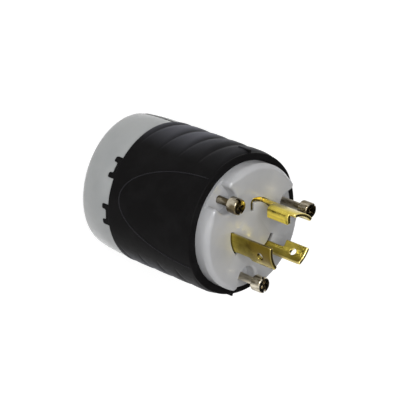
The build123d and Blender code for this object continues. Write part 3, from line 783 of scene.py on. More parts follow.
def points_with(name, places, attribute, vectors, joined=False):
    """A mesh of bare points, or of lines between them, that carries a vector for each point."""
    mesh = bpy.data.meshes.new(name)
    edges = [(i, i + 1) for i in range(len(places) - 1)] if joined else []
    mesh.from_pydata(places, edges, [])
    layer = mesh.attributes.new(attribute, "FLOAT_VECTOR", "POINT")
    for item, vector in zip(layer.data, vectors):
        item.vector = vector
    obj = bpy.data.objects.new(name, mesh)
    bpy.context.scene.collection.objects.link(obj)
    return obj


# Grip sleeve


def ribbed_radius(s, angle, level):
    """Radius of the sleeve: convex finger ribs on two sides that fade into the plain cylinder."""
    offset = s.rib_depth / (1 - cos(s.rib_spread))
    sagitta = s.rib_depth + s.rib_land
    arc = (s.rib_pitch**2 / 4 + sagitta**2) / (2 * sagitta)
    across = (rim - s.rib_first - level) % s.rib_pitch - s.rib_pitch / 2
    rise = sqrt(arc**2 - across**2) - (arc - sagitta)
    reach = s.sleeve_radius - s.rib_depth + hypot(rise, s.crease_soft) - s.crease_soft / 2 + offset
    cut = sqrt(reach**2 - (offset * sin(angle)) ** 2) - offset * abs(cos(angle))
    return min(s.sleeve_radius, cut)


def painted_sheen_tone(s, point):
    """How much painted sheen a place on the sleeve gets: on the crests of its ribs, fading away from the
    ribs' sides, least near the rim.
    """
    side_power = 1.5
    rim_sheen = 0.2
    sheen_start = 0.3
    sheen_rate = 4.0
    angle = atan2(point.y, point.x)
    radius = hypot(point.x, point.y)
    side = max(0.0, 1 - (sin(angle) / sin(s.rib_spread)) ** 2) ** side_power
    height = clamped((radius - s.sleeve_radius + s.rib_depth) / s.rib_depth)
    outside = radius > s.front_bore + s.rim_round and s.sleeve_rear < point.z < rim - s.rib_first
    back = (rim - point.z) / (rim - s.sleeve_rear)
    # This rubbed share is painted sheen, lighter towards the rear
    rubbed = rim_sheen + (1 - rim_sheen) * clamped(sheen_rate * (back - sheen_start))
    return side * height * rubbed if outside else 0.0


def rib_levels(s, bottom, top):
    """Levels for the sleeve's rings, closer together towards each crease."""
    crease_count = 5
    ring_step = 0.55 * mm
    creases = [rim - s.rib_first - s.rib_pitch * i for i in range(crease_count)]
    stops = sorted([bottom, top] + [c for c in creases if bottom < c < top])
    levels = []
    for low, high in zip(stops, stops[1:]):
        count = max(3, round((high - low) / ring_step))
        levels += [(low + high) / 2 - (high - low) / 2 * cos(pi * i / count) for i in range(count)]
    return levels + [top]


def sleeve_rings(s, count):
    """The sleeve's closed section, ring by ring, from its rear edge over the rim and back inside."""
    angles = around(count)
    soft = s.rim_round / 2

    def outer_ring(level, drop, height):
        """The ribbed outline of a level, drawn in by a drop and set at a height."""
        radii = [ribbed_radius(s, a, level) - drop for a in angles]
        return [(r * cos(a), r * sin(a), height) for r, a in zip(radii, angles)]

    low, high = s.sleeve_rear + s.rim_round, rim - s.rim_round
    rings = []
    for a in steps(0, pi / 2, 5)[:-1]:
        rings.append(outer_ring(low, s.rim_round * (1 - sin(a)), low - s.rim_round * cos(a)))
    rings += [outer_ring(level, 0, level) for level in rib_levels(s, low, high)]
    for a in steps(0, pi / 2, 5)[1:]:
        rings.append(outer_ring(high, s.rim_round * (1 - cos(a)), high + s.rim_round * sin(a)))
    for a in steps(0, pi / 2, 4):
        rings.append(circle(s.front_bore + soft * (1 - sin(a)), rim - soft * (1 - cos(a)), count))
    for radius, level in (
        (s.front_bore, s.ledge),
        (s.barrel_bore, s.ledge),
        (s.barrel_bore, s.sleeve_rear + s.lip_length),
        (s.lip_radius, s.sleeve_rear + s.lip_length),
        (s.lip_radius, s.sleeve_rear),
    ):
        rings.append(circle(radius, level, count))
    return rings


def boss_rings(s, angle, count=48):
    """A screw boss with its stepped bore, carried out into the sleeve's wall by a web."""
    web_overlap = 1.5 * mm
    tiny = 1e-6
    reach = s.barrel_bore - s.screw_circle + web_overlap
    centre = polar(s.screw_circle, angle)

    def web(a):
        """Distance of the outline from the boss's axis: round inwards, straight out to the wall."""
        if cos(a) > tiny:
            return min(s.boss_radius / max(abs(sin(a)), tiny), reach / cos(a))
        return s.boss_radius

    def ring(radii, level):
        """A ring round the boss's axis."""
        outward = [direction(a + radians(angle)) for a in around(count)]
        return at_level([centre + radius * out for radius, out in zip(radii, outward)], level)

    outline = [web(a) for a in around(count)]
    hole = [s.screw_thread_radius + s.slot_gap] * count
    seat = [s.insert_radius] * count
    bottom = s.ledge - s.boss_length
    step = s.ledge - s.insert_length
    return [
        ring(outline, s.ledge),
        ring(outline, bottom),
        ring(hole, bottom),
        ring(hole, step),
        ring(seat, step),
        ring(seat, s.ledge),
    ]


def rounded_bar(skin, centre, size, soft, angle=0.0):
    """Add a small bar with rounded edges, turned about the axis."""
    bm = bmesh.new()
    bmesh.ops.create_cube(bm, size=1.0)
    bmesh.ops.scale(bm, vec=size, verts=bm.verts)
    bmesh.ops.bevel(bm, geom=bm.edges[:], offset=soft, segments=3, affect="EDGES", profile=0.5)
    bmesh.ops.translate(bm, vec=centre, verts=bm.verts)
    bmesh.ops.rotate(bm, matrix=Matrix.Rotation(angle, 3, "Z"), verts=bm.verts)
    skin.add_bmesh(bm)


def oval_line(s, side, count=120):
    """Points along the half oval on one side of the sleeve, with the outward direction at each."""
    places, outward = [], []
    end_gap = 0.02
    for a in steps(end_gap, pi - end_gap, count):
        x = s.oval_half_width * cos(a)
        level = rim - s.rim_round - (s.oval_length - s.rim_round) * sin(a)
        out = Vector((x, side * sqrt(s.sleeve_radius**2 - x**2), 0.0))
        places.append((out.x, out.y, level))
        outward.append(out.normalized())
    return places, outward


class PLUG_OT_grip_sleeve(bpy.types.Operator):
    """Mould the black grip sleeve with its ribs, tabs, bars and raised lines"""

    bl_idname = "locking_plug.grip_sleeve"
    bl_label = "Grip sleeve"

    def execute(self, context):
        s = context.scene.locking_plug_sizes
        grip = finishes(context)["black_grip"]
        sleeve_sides = 360
        bead_sides = 12
        pip_soft = 0.6 * s.pip_height
        skin = Skin()
        skin.add_rings(sleeve_rings(s, sleeve_sides), loop=True)
        for angle in screw_angles:
            skin.add_rings(boss_rings(s, angle), loop=True)
        for angle in (s.pip_angle, s.pip_angle + pi):
            rounded_bar(
                skin,
                (s.sleeve_radius - s.pip_height, 0, rim - s.rim_round - s.pip_length / 2),
                (4 * s.pip_height, s.pip_width, s.pip_length),
                pip_soft,
                angle,
            )
        skin.add_node("grip_sleeve", s.sleeve_rear - seam_gap)
        # The sleeve's tone is the painted sheen on its rib crests
        sleeve = skin.piece("grip_sleeve_moulding", grip, tone=lambda v: painted_sheen_tone(s, v))
        dress(sleeve, "black_grip", "grip_sleeve")
        for side, label in ((1, "near"), (-1, "far")):
            places, outward = oval_line(s, side)
            line = points_with(f"oval_line_{label}", places, "outward", outward, joined=True)
            run_tree(line, bead_tree(), {
                "Width": s.oval_line_width,
                "Height": s.oval_line_height,
                "Sides": bead_sides,
                "Material": grip,
            })
            # The raised line gets a share of the painted sheen
            give_tone(line, lambda v: s.oval_line_sheen)
            finish_mesh(line, grip)
            dress(line, "black_grip")
        return {"FINISHED"}


# Front body


def pocket_outline(s):
    """The front's outline from above: points, directions into the material, and nearness to a pocket."""
    radius, half, corner = s.disc_radius, s.pocket_radius, s.pocket_corner
    centre_x = sqrt((radius - corner) ** 2 - (half + corner) ** 2)
    opening = atan2(half + corner, centre_x)
    fade = radians(9)

    def arc(centre, size, first, last, count, inward):
        """A rounded run along a pocket."""
        turned = [direction(a) for a in steps(first, last, count)]
        return [(Vector(centre) + size * out, inward * out, 1.0) for out in turned]

    def side(first, last, sign):
        """A straight side of a pocket, its ends left to the arcs."""
        return [(Vector((x, sign * half)), Vector((0, sign)), 1.0) for x in steps(first, last, 6)[1:-1]]

    points = []
    for angle, next_angle in zip(screw_angles, screw_angles[1:] + screw_angles[:1]):
        local = arc((centre_x, -half - corner), corner, -opening, pi / 2, 12, -1)
        local += side(centre_x, s.screw_circle, -1)
        local += arc((s.screw_circle, 0), half, 1.5 * pi, 0.5 * pi, 30, 1)
        local += side(s.screw_circle, centre_x, 1)
        local += arc((centre_x, half + corner), corner, -pi / 2, opening, 12, -1)
        last = radians((next_angle - angle) % 360) - opening
        for a in steps(opening, last, 84)[1:-1]:
            near = max(0.0, 1 - min(a - opening, last - a) / fade)
            local.append((radius * direction(a), -direction(a), near * near * (3 - 2 * near)))
        turned = Matrix.Rotation(radians(angle), 2)
        points += [(turned @ p, turned @ n, near) for p, n, near in local]
    return points, opening


def blade_path(s, blade):
    """The line that a blade's section follows: a function from length to place and outward direction."""
    first, last = (radians(a) for a in blade_angles[blade])
    radius = s.blade_radius

    def plain(along):
        """The curve about the plug's axis."""
        out = direction(first + along / radius)
        return radius * out, out

    if blade != "ground":
        return plain, radius * (last - first)
    lip = last - s.blade_thickness / 2 / radius
    bend = s.lip_bend
    turn_in = asin(bend / (radius - bend))
    arc_end = lip - turn_in
    centre = (radius - bend) * direction(arc_end)
    arc_length = radius * (arc_end - first)
    bend_length = bend * (pi / 2 + turn_in)
    straight_start = sqrt((radius - bend) ** 2 - bend**2)

    def lipped(along):
        """That curve, then the bend and the straight lip towards the axis."""
        if along <= arc_length:
            return plain(along)
        if along <= arc_length + bend_length:
            out = direction(arc_end + (along - arc_length) / bend)
            return centre + bend * out, out
        reach = straight_start - (along - arc_length - bend_length)
        return reach * direction(lip), Vector((-sin(lip), cos(lip)))

    return lipped, arc_length + bend_length + straight_start - s.lip_inner


def slot_outline(s, blade, grow, count=40):
    """The outline of a blade's slot, grown all round."""
    path, total = blade_path(s, blade)
    half = s.blade_thickness / 2 + grow
    small_step = 0.01 * mm
    outer, inner = [], []
    for along in steps(0, total, count):
        place, out = path(along)
        before = path(max(0, along - small_step))[0]
        after = path(min(total, along + small_step))[0]
        ahead = (after - before).normalized()
        shift = -grow if along == 0 else grow if along > total - small_step else 0.0
        outer.append(place + out * half + ahead * shift)
        inner.append(place - out * half + ahead * shift)
    return outer + inner[::-1]


def shoulder_ring(s, outline, angle):
    """A ring of the front's soft edge, wide on the shoulder and narrow along the pockets."""
    ring = []
    for point, inward, near in outline:
        reach = s.shoulder_reach + near * (s.pocket_reach - s.shoulder_reach)
        drop = s.shoulder_drop + near * (s.pocket_drop - s.shoulder_drop)
        place = point + inward * reach * (1 - cos(angle))
        ring.append((place.x, place.y, face - drop * (1 - sin(angle))))
    return ring


class PLUG_OT_front_body(bpy.types.Operator):
    """Mould the white front with its soft shoulder, screw pockets and blade slots"""

    bl_idname = "locking_plug.front_body"
    bl_label = "Front body"

    def execute(self, context):
        s = context.scene.locking_plug_sizes
        outline, opening = pocket_outline(s)
        skin = Skin()
        shoulder = [shoulder_ring(s, outline, a) for a in steps(0, pi / 2, 10)]
        skin.add_rings([at_level([p for p, _, _ in outline], s.pocket_floor)] + shoulder)

        soft_share = 0.3
        slot_end = face - s.cut_level
        depths = (s.slot_round, s.slot_shade_start, s.slot_shade_full, slot_end - s.slot_round, slot_end)
        slots, mouths = [], []
        for blade in blade_angles:
            wide = slot_outline(s, blade, s.slot_gap + s.slot_round)
            soft = slot_outline(s, blade, s.slot_gap + s.slot_round * soft_share)
            slot = slot_outline(s, blade, s.slot_gap)
            rings = [at_level(wide, face), at_level(soft, face - s.slot_round * soft_share)]
            rings += [at_level(slot, face - depth) for depth in depths]
            # The marks paint shade on the slots' walls, full further in
            skin.add_rings(rings, marks=[0.0, 0.0, 0.0, 0.2, 1.0, 1.0, 0.0])
            slots.append(slot)
            mouths.append(wide)
        skin.add_flat(shoulder[-1], mouths, face)

        hole_sides = 32
        mouth_count = 14
        neck_hole = s.screw_neck_radius + s.neck_gap
        thread_hole = s.screw_thread_radius + s.slot_gap
        lip_bottom = s.pocket_floor - s.neck_lip
        per_pocket = len(outline) // len(screw_angles)
        bores, wall = [], []
        for i, angle in enumerate(screw_angles):
            rings = [
                circle(radius, level, hole_sides, polar(s.screw_circle, angle))
                for radius, level in (
                    (neck_hole, s.pocket_floor),
                    (neck_hole, lip_bottom),
                    (thread_hole, lip_bottom),
                    (thread_hole, s.cut_level),
                )
            ]
            skin.add_rings(rings)
            bores.append(rings[-1])
            sector = [p for p, _, _ in outline[i * per_pocket:(i + 1) * per_pocket]]
            rim_points = [p for p in sector if p.length > s.disc_radius - weld_distance]
            pocket = sector[: len(sector) - len(rim_points) + 2]
            turns = steps(opening, -opening, mouth_count)
            mouth = [polar(s.disc_radius, angle + degrees(a)) for a in turns]
            skin.add_flat(pocket + mouth[1:-1], [rings[0]], s.pocket_floor)
            wall += mouth[::-1] + rim_points[2:]
        skin.add_rings([at_level(wall, s.pocket_floor), at_level(wall, s.cut_level)])
        skin.add_flat(wall, slots + bores, s.cut_level)
        skin.add_node("front_body", s.cut_level - seam_gap)
        front = skin.piece("front_moulding", finishes(context)["front_nylon"])
        dress(front, "white_nylon", "front_body")
        return {"FINISHED"}


# Cord clamp


def clamp_sections(s):
    """The clamp's closed section as half axes and levels, from its front edge round to the neck."""
    rows = [(s.rear_radius, s.rear_radius, level) for level in steps(s.clamp_front, s.taper_top, 4)]

    def half_axes(level):
        """Half axes of the narrowing part."""
        narrowing = ((s.taper_top - level) / s.taper_top) ** s.taper_power
        rear_axes = (s.rear_half_x, s.rear_half_y)
        return [s.rear_radius + narrowing * (axis - s.rear_radius) for axis in rear_axes]

    for level in steps(s.taper_top, s.rear_round, 16)[1:]:
        rows.append((*half_axes(level), level))
    start = half_axes(s.rear_round)
    corner = half_axes(0.0)
    for t in steps(0, 1, 10)[1:]:
        axes = [
            (1 - t) ** 2 * a + 2 * t * (1 - t) * b + t * t * (b - s.rear_round)
            for a, b in zip(start, corner)
        ]
        rows.append((*axes, (1 - t) ** 2 * s.rear_round))
    flat = rows[-1][:2]
    mouth = s.cord_radius + s.cord_mouth
    for t in steps(0, 1, 4)[1:]:
        rows.append((*(axis + t * (mouth - axis) for axis in flat), 0.0))
    rounds = [
        (mouth - s.cord_mouth * sin(a), s.cord_mouth * (1 - cos(a))) for a in steps(0, pi / 2, 6)[1:]
    ]
    for radius, level in (
        *rounds,
        (s.cord_radius, s.cord_grip_length),
        (s.funnel_radius, clamp_top),
        (s.flange_radius, clamp_top),
        (s.flange_radius, s.flange_bottom),
        (s.neck_radius, s.flange_bottom),
        (s.neck_radius, s.clamp_front),
    ):
        rows.append((radius, radius, level))
    return rows


def clamp_half(s, side, count=128):
    """One half of the clamp: rings round from split to split, with rounded edges along it."""
    edge = s.split_gap / 2 + s.split_round
    rings = []
    for half_x, half_y, level in clamp_sections(s):
        first = asin(edge / half_y)
        angles = steps(first, pi - first, count)
        rings.append([Vector((half_x * cos(a), half_y * sin(a), level)) for a in angles])
    for at_end in (0, -1):
        section = [(ring[at_end].x, ring[at_end].z) for ring in rings]
        for a in steps(0, pi / 2, 4)[1:]:
            inward = inset_section(section, s.split_round * (1 - cos(a)))
            y = edge - s.split_round * sin(a)
            for ring, (x, z) in zip(rings, inward):
                ring.insert(0 if at_end == 0 else len(ring), Vector((x, y, z)))
    skin = Skin()
    skin.add_rings(rings, loop=True, closed=False)
    for at_end in (0, -1):
        cap = [ring[at_end] for ring in rings]
        points, triangles = fill_outline([(p.x, p.z) for p in cap])
        skin.add([(p.x, cap[0].y, p.y) for p in points], triangles)
    skin.vertices = [Vector((v.x, side * v.y, v.z)) for v in skin.vertices]
    return skin


def inset_section(section, distance):
    """A closed section moved into its own material."""
    area = sum(a[0] * b[1] - b[0] * a[1] for a, b in zip(section, section[1:] + section[:1]))
    return [tuple(p) for p in inset([Vector(p) for p in section], distance if area > 0 else -distance)]


def tab_cutter(s):
    """The sleeve's tabs, grown by their gap, to cut their recesses."""
    skin = Skin()
    skin.add_node("grip_sleeve", s.sleeve_rear - seam_gap)
    cutter = skin.piece("tab_cutter")
    bm = bmesh.new()
    bm.from_mesh(cutter.data)
    tongues = [v for v in bm.verts if abs(v.co.y) < s.cord_radius]
    bmesh.ops.delete(bm, geom=tongues, context="VERTS")
    bm.normal_update()
    moves = [(v, v.normal * s.tab_gap) for v in bm.verts]
    for vertex, move in moves:
        vertex.co += move
    bm.to_mesh(cutter.data)
    bm.free()
    return cutter


def rod(name, radius, start, end, count=48):
    """A closed round rod from a point to a distance along Y."""
    skin = Skin()
    skin.add_capped([
        [(start[0] + radius * cos(a), y, start[2] + radius * sin(a)) for a in around(count)]
        for y in (start[1], end)
    ])
    return skin.piece(name)


class PLUG_OT_cord_clamp(bpy.types.Operator):
    """Mould the two white halves of the rear cord clamp"""

    bl_idname = "locking_plug.cord_clamp"
    bl_label = "Cord clamp"

    def execute(self, context):
        s = context.scene.locking_plug_sizes
        nylon = finishes(context)["white_nylon"]
        bore_spare = 0.5 * mm
        shank = s.clamp_screw_radius + s.slot_gap
        head_pocket = s.clamp_head_radius + 2 * s.tab_gap
        for side, label in ((1, "near"), (-1, "far")):
            half = clamp_half(s, side).piece(f"clamp_{label}_moulding", nylon)
            cut_away(half, tab_cutter(s))
            for across in (1, -1):
                start = (across * s.clamp_screw_spacing / 2, 0.0, s.clamp_screw_height)
                if side > 0:
                    cut_away(half, rod("screw_bore", shank, start, s.clamp_screw_end + bore_spare))
                    cut_away(half, rod("insert_bore", s.clamp_insert_radius, start, s.clamp_insert_end))
                else:
                    cut_away(half, rod("screw_bore", shank, start, -s.clamp_head_seat - bore_spare))
                    seat = (start[0], -s.clamp_head_seat, start[2])
                    cut_away(half, rod("head_pocket", head_pocket, seat, -s.sleeve_radius))
            finish_mesh(half, nylon)
            dress(half, "white_nylon", f"clamp_half_{label}")
        return {"FINISHED"}


# Blades


def blade_outline(s, blade):
    """A blade's outline, unrolled to length along its section and level, with its path and limits."""
    outline_step = 0.7 * mm
    path, total = blade_path(s, blade)
    neck = s.blade_radius * radians(neck_ends[blade] - blade_angles[blade][0])
    bottom = s.chamber_top - s.blade_overlap
    tip = blade_tips[blade]
    notch_low, notch_high = face - notch_sinks[blade], face + s.notch_height
    corner = s.blade_corner
    small = corner / 2
    corners = [
        (0, bottom, small),
        (total, bottom, small),
        (total, notch_low, small),
        (neck, notch_low, small),
        (neck, notch_high, corner),
        (total, notch_high, small),
    ]
    if blade == "ground":
        lip_start = total - (s.blade_radius - s.lip_inner)
        corners += [(total, tip - s.lip_tip_drop, corner), (lip_start, tip - s.lip_tip_drop, small)]
        corners += [(lip_start, tip, corner), (0, tip, corner)]
    else:
        corners += [(total, tip, corner), (0, tip, corner)]
    return path, rounded_outline(corners, outline_step), total, bottom, tip


def blade_painted_reflection(s, blade, point):
    """How dark a place on a blade is painted, as reflection and shade: dark below the face, dark to light
    over the wide one, bright on the ground's lip.
    """
    height = point.z - face
    if height < 0:
        return buried_painted_shade
    if blade == "hot":
        return hot_painted_reflection
    if blade == "neutral":
        first, last = blade_angles[blade]
        share = (degrees(atan2(point.y, point.x)) - first) / (last - first)
        rise = clamped((share - neutral_painted_light_start) / (1 - neutral_painted_light_start))
        ahead = min(1.0, neutral_painted_dark_rate * height / (blade_tips[blade] - face))
        return neutral_painted_reflection + neutral_painted_dark_reflection * ahead - neutral_painted_light_reflection * rise * rise
    if hypot(point.x, point.y) < s.blade_radius - s.blade_thickness:
        lip_end = blade_tips[blade] - s.lip_tip_drop - s.blade_tip
        return lip_painted_highlight if point.z < lip_end else ground_painted_reflection_high
    return clamped(height / s.notch_height - ground_painted_reflection_drop, ground_painted_reflection_low, ground_painted_reflection_high)


def blade_skin(s, blade):
    """A blade: its outline wrapped round the section's line, with rounded edges and its hole."""
    tip_fade_start = 1.5 * mm
    tip_fade_length = 1.0 * mm
    side_wear_and_highlight = 0.5
    grid_step = 0.6 * mm
    grid_rows = 26
    grid_clear = 0.3 * mm
    hole_sides = 40
    path, outline, total, bottom, tip = blade_outline(s, blade)
    half = s.blade_thickness / 2
    hole_along = s.blade_radius * radians(hole_angles[blade] - blade_angles[blade][0])
    hole_level = face + hole_heights[blade]
    hole = [
        Vector((hole_along + s.blade_hole * cos(a), hole_level - s.blade_hole * sin(a)))
        for a in around(hole_sides)
    ]

    def near_tip(level):
        """How near a level is to the blade's tip, from 0 to 1."""
        return clamped((level - tip + tip_fade_start) / tip_fade_length)

    def wrap(point, depth):
        """The place of an unrolled point at a depth from the middle of the strip."""
        along = clamped(point[0], 0.0, total)
        place, out = path(along)
        flat = place + out * depth + Vector((-out.y, out.x)) * (point[0] - along)
        return (flat.x, flat.y, point[1])

    skin = Skin()
    borders = []
    for loop in (outline, hole):
        soft = [s.blade_edge + near_tip(p.y) * (s.blade_tip - s.blade_edge) for p in loop]
        rings = []
        for a in steps(0, pi / 2, 4):
            moved = inset(loop, [e * (1 - cos(a)) for e in soft])
            rings.append([(p, half - e * (1 - sin(a))) for p, e in zip(moved, soft)])
        borders.append([p for p, _ in rings[-1]])
        for side in (1, -1):
            turned = [[wrap(p, side * depth) for p, depth in ring] for ring in rings]
            skin.add_rings(turned, marks=[1.0] * (len(rings) - 1) + [0.0])
        walls = [[wrap(p, side * depth) for p, depth in rings[0]] for side in (1, -1)]
        skin.add_rings(walls, marks=[1.0, 1.0])
    grid = []
    for along in steps(0, total, max(6, round(total / grid_step))):
        for level in steps(bottom, tip, grid_rows):
            point = Vector((along, level))
            clear = min((point - q).length for loop in borders for q in loop)
            if clear > grid_clear and inside(point, borders[0]) and not inside(point, borders[1]):
                grid.append(point)
    points, triangles = fill_outline(borders[0], borders[1:], grid)
    for side in (1, -1):
        skin.add([wrap(p, side * half) for p in points], triangles)
    # Edge marks: wear and painted highlight, strongest near the tip
    skin.marks = [
        edge_wear_and_highlight[blade] * mark * max(side_wear_and_highlight, near_tip(v.z))
        for mark, v in zip(skin.marks, skin.vertices)
    ]
    skin.add_node(f"{blade}_blade", s.chamber_top + s.blade_overlap)
    return skin


class PLUG_OT_blades(bpy.types.Operator):
    """Stamp the three curved brass blades"""

    bl_idname = "locking_plug.blades"
    bl_label = "Blades"

    def execute(self, context):
        s = context.scene.locking_plug_sizes
        brass = finishes(context)["blade_brass"]
        for blade in blade_angles:
            skin = blade_skin(s, blade)
            # The tone paints reflections and shade on each blade
            strip = skin.piece(f"{blade}_blade_strip", brass, tone=lambda v: blade_painted_reflection(s, blade, v))
            dress(strip, "blade_brass", f"{blade}_blade")
        return {"FINISHED"}


# Screws

thread_end_length = 0.3 * mm
head_sink = 0.2 * mm


def thread_rings(s, radius, bottom, top, count=32):
    """A thread with its tapered tip, as rings whose radius follows a helix and fades out at both ends."""
    tip_share = 0.6
    tip_length = 0.3 * mm
    rows_per_turn = 10
    start = bottom + tip_length
    rings = [circle(radius * tip_share, bottom, count)]
    for level in steps(start, top, round((top - start) / s.thread_pitch * rows_per_turn)):
        fade = min(1.0, (level - start) / s.thread_pitch, (top - level) / s.thread_pitch)
        ring = []
        for i, a in enumerate(around(count)):
            phase = (level / s.thread_pitch - i / count) % 1.0
            groove = 1 - abs(2 * phase - 1)
            r = radius - s.thread_depth * (1 - fade * groove)
            ring.append((r * cos(a), r * sin(a), level))
        rings.append(ring)
    return rings


def screw_model(s, name, head, height, shank_rings, count=64):
    """A screw standing on its seat at the origin, head up, with a slot and a short cross in it."""
    soft = s.screw_head_round
    middle = head * 0.02
    crown = 0.06 * mm
    drive_soft = s.drive_width * 0.08
    rings = [circle(middle, 0, count), circle(head - soft / 3, 0, count), circle(head, soft / 3, count)]
    for a in steps(0, pi / 2, 8):
        rings.append(circle(head - soft * (1 - cos(a)), height - soft * (1 - sin(a)), count))
    rings.append(circle(middle, height + crown, count))
    skin = Skin()
    skin.add_capped(rings)
    model = skin.piece(name)
    for length_x, length_y in ((3 * head, s.drive_width), (s.drive_width, s.drive_cross)):
        bar = Skin()
        rounded_bar(bar, (0, 0, height), (length_x, length_y, 2 * s.drive_depth), drive_soft)
        cut_away(model, bar.piece("drive_bar"))
    shank = Skin()
    shank.add_capped(shank_rings)
    body = shank.piece(f"{name}_shank")
    joined = Skin()
    for part, mark in ((model, 0.0), (body, 1.0)):
        corners = [v.co.copy() for v in part.data.vertices]
        joined.add(corners, [tuple(p.vertices) for p in part.data.polygons], [mark] * len(corners))
        bpy.data.objects.remove(part)
    return joined.piece(name)


def captive_screw(s):
    """The assembly screw: a thin neck over a threaded end."""
    top = s.screw_thread_length - s.screw_length
    rings = thread_rings(s, s.screw_thread_radius, -s.screw_length, top)
    for level in (top + thread_end_length, head_sink):
        rings.append(circle(s.screw_neck_radius, level, len(rings[0])))
    return screw_model(s, "captive_screw_model", s.screw_head_radius, s.screw_head_height, rings)


def clamp_screw(s):
    """The clamp screw: threaded to its tip."""
    plain_length = 1.0 * mm
    rings = thread_rings(s, s.clamp_screw_radius, -s.clamp_head_seat - s.clamp_screw_end, -plain_length)
    rings.append(circle(s.clamp_screw_radius - s.thread_depth, head_sink, len(rings[0])))
    return screw_model(s, "clamp_screw_model", s.clamp_head_radius, s.clamp_head_height, rings)


def screw_painted_reflection(s, point):
    """How dark a place on the screws is painted as reflection: each assembly screw has its own tones for
    head and neck.
    """
    if point.z < s.ledge:
        return clamp_screw_tone
    places = [polar(s.screw_circle, angle) for angle in screw_angles]
    reach = [(Vector((point.x, point.y)) - place).length for place in places]
    nearest = reach.index(min(reach))
    on_neck = point.z < s.pocket_floor + screw_backed_out[nearest]
    return neck_painted_reflections[nearest] if on_neck else screw_painted_reflections[nearest]


class PLUG_OT_screws(bpy.types.Operator):
    """Set the assembly screws and the clamp screws"""

    bl_idname = "locking_plug.screws"
    bl_label = "Screws"

    def execute(self, context):
        s = context.scene.locking_plug_sizes
        nickel = finishes(context)["screw_nickel"]
        tree = instance_tree()
        stands = [
            (*polar(s.screw_circle, angle), s.pocket_floor + out)
            for angle, out in zip(screw_angles, screw_backed_out)
        ]
        turns = [(0.0, 0.0, radians(a)) for a in screw_turns]
        seats = [
            (side * s.clamp_screw_spacing / 2, -s.clamp_head_seat, s.clamp_screw_height) for side in (1, -1)
        ]
        facing = [(radians(90), 0.0, 0.0)] * len(seats)
        for name, model, places, angles, node in (
            ("captive_screws", captive_screw(s), stands, turns, "assembly_screws"),
            ("cord_clamp_screws", clamp_screw(s), seats, facing, "clamp_screws"),
        ):
            group = points_with(name, places, "turns", angles)
            run_tree(group, tree, {"Fastener": model, "Material": nickel})
            # The tone paints reflections on each screw
            give_tone(group, lambda v: screw_painted_reflection(s, v))
            finish_mesh(group, nickel)
            bpy.data.objects.remove(model)
            dress(group, "screw_nickel", node)
        return {"FINISHED"}


class PLUG_OT_inner_parts(bpy.types.Operator):
    """Give the terminals, inserts and wire guide their finishes"""

    bl_idname = "locking_plug.inner_parts"
    bl_label = "Inner parts"

    def execute(self, context):
        made = finishes(context)
        slots = {
            "wire_guide": "guide_nylon",
            "wire_guide_screw": "screw_nickel",
            "screw_inserts": "insert_brass",
            "clamp_inserts": "insert_brass",
            "ground_terminal_screw": "terminal_green",
            "neutral_terminal_screw": "terminal_silver",
            "hot_terminal_screw": "insert_brass",
        }
        slots.update({f"{blade}_clamp_plate": "plate_steel" for blade in blade_angles})
        for node, slot in slots.items():
            for holder in bpy.data.objects[node].material_slots:
                holder.material = made[slot]
        return {"FINISHED"}


# Stage

white = (1.0, 1.0, 1.0, 1.0)
floor_grey = (0.45, 0.45, 0.45, 1.0)
flag_black = (0.02, 0.02, 0.02, 1.0)
flag_place = (-0.17, -0.66, 0.64)
lamp_aim = (0.0, 0.0, 0.05)


def white_to_camera(tree):
    """One where the floor or the room is seen directly, in a reflection or through glass."""
    rays = add_node(tree, "ShaderNodeLightPath").outputs
    seen = combine(tree, "MAXIMUM", rays["Is Camera Ray"], rays["Is Glossy Ray"])
    return combine(tree, "MAXIMUM", seen, rays["Is Transmission Ray"])


def floor_finish(glow):
    """A pale floor that looks white and keeps the shadow."""
    material, tree, shader = finish_tree("pale_floor")
    tree.nodes.remove(shader)
    plain = add_node(tree, "ShaderNodeBsdfDiffuse", {"Color": floor_grey})
    light = add_node(tree, "ShaderNodeEmission", {"Color": white, "Strength": glow})
    both = add_node(tree, "ShaderNodeAddShader", {0: plain.outputs[0], 1: light.outputs[0]})
    mix = add_node(
        tree, "ShaderNodeMixShader", {0: white_to_camera(tree), 1: plain.outputs[0], 2: both.outputs[0]}
    )
    feed(tree, tree.nodes["Material Output"], {"Surface": mix.outputs[0]})
    return material


def flat_sheet(name, size, material):
    """A square sheet that belongs to the stage, flat at the origin."""
    half = size / 2
    mesh = bpy.data.meshes.new(name)
    corners = [(-half, -half, 0), (half, -half, 0), (half, half, 0), (-half, half, 0)]
    mesh.from_pydata(corners, [], [(0, 1, 2, 3)])
    mesh.materials.append(material)
    sheet = bpy.data.objects.new(name, mesh)
    bpy.context.scene.collection.objects.link(sheet)
    return sheet


def room(ambient):
    """A world of even light that looks white."""
    world = bpy.data.worlds.new("room")
    world.use_nodes = True
    tree = world.node_tree
    even = tree.nodes["Background"]
    feed(tree, even, {"Color": white, "Strength": ambient})
    shown = add_node(tree, "ShaderNodeBackground", {"Color": white, "Strength": 1.0})
    mix = add_node(
        tree, "ShaderNodeMixShader", {0: white_to_camera(tree), 1: even.outputs[0], 2: shown.outputs[0]}
    )
    feed(tree, tree.nodes["World Output"], {"Surface": mix.outputs[0]})
    return world


def soft_lamp(name, place, target, size, power):
    """A square soft lamp that points at a target."""
    light = bpy.data.lights.new(name, "AREA")
    light.shape = "SQUARE"
    light.size = size
    light.energy = power
    lamp = bpy.data.objects.new(name, light)
    lamp.location = place
    lamp.rotation_euler = (Vector(target) - Vector(place)).to_track_quat("-Z", "Y").to_euler()
    bpy.context.scene.collection.objects.link(lamp)
    return lamp


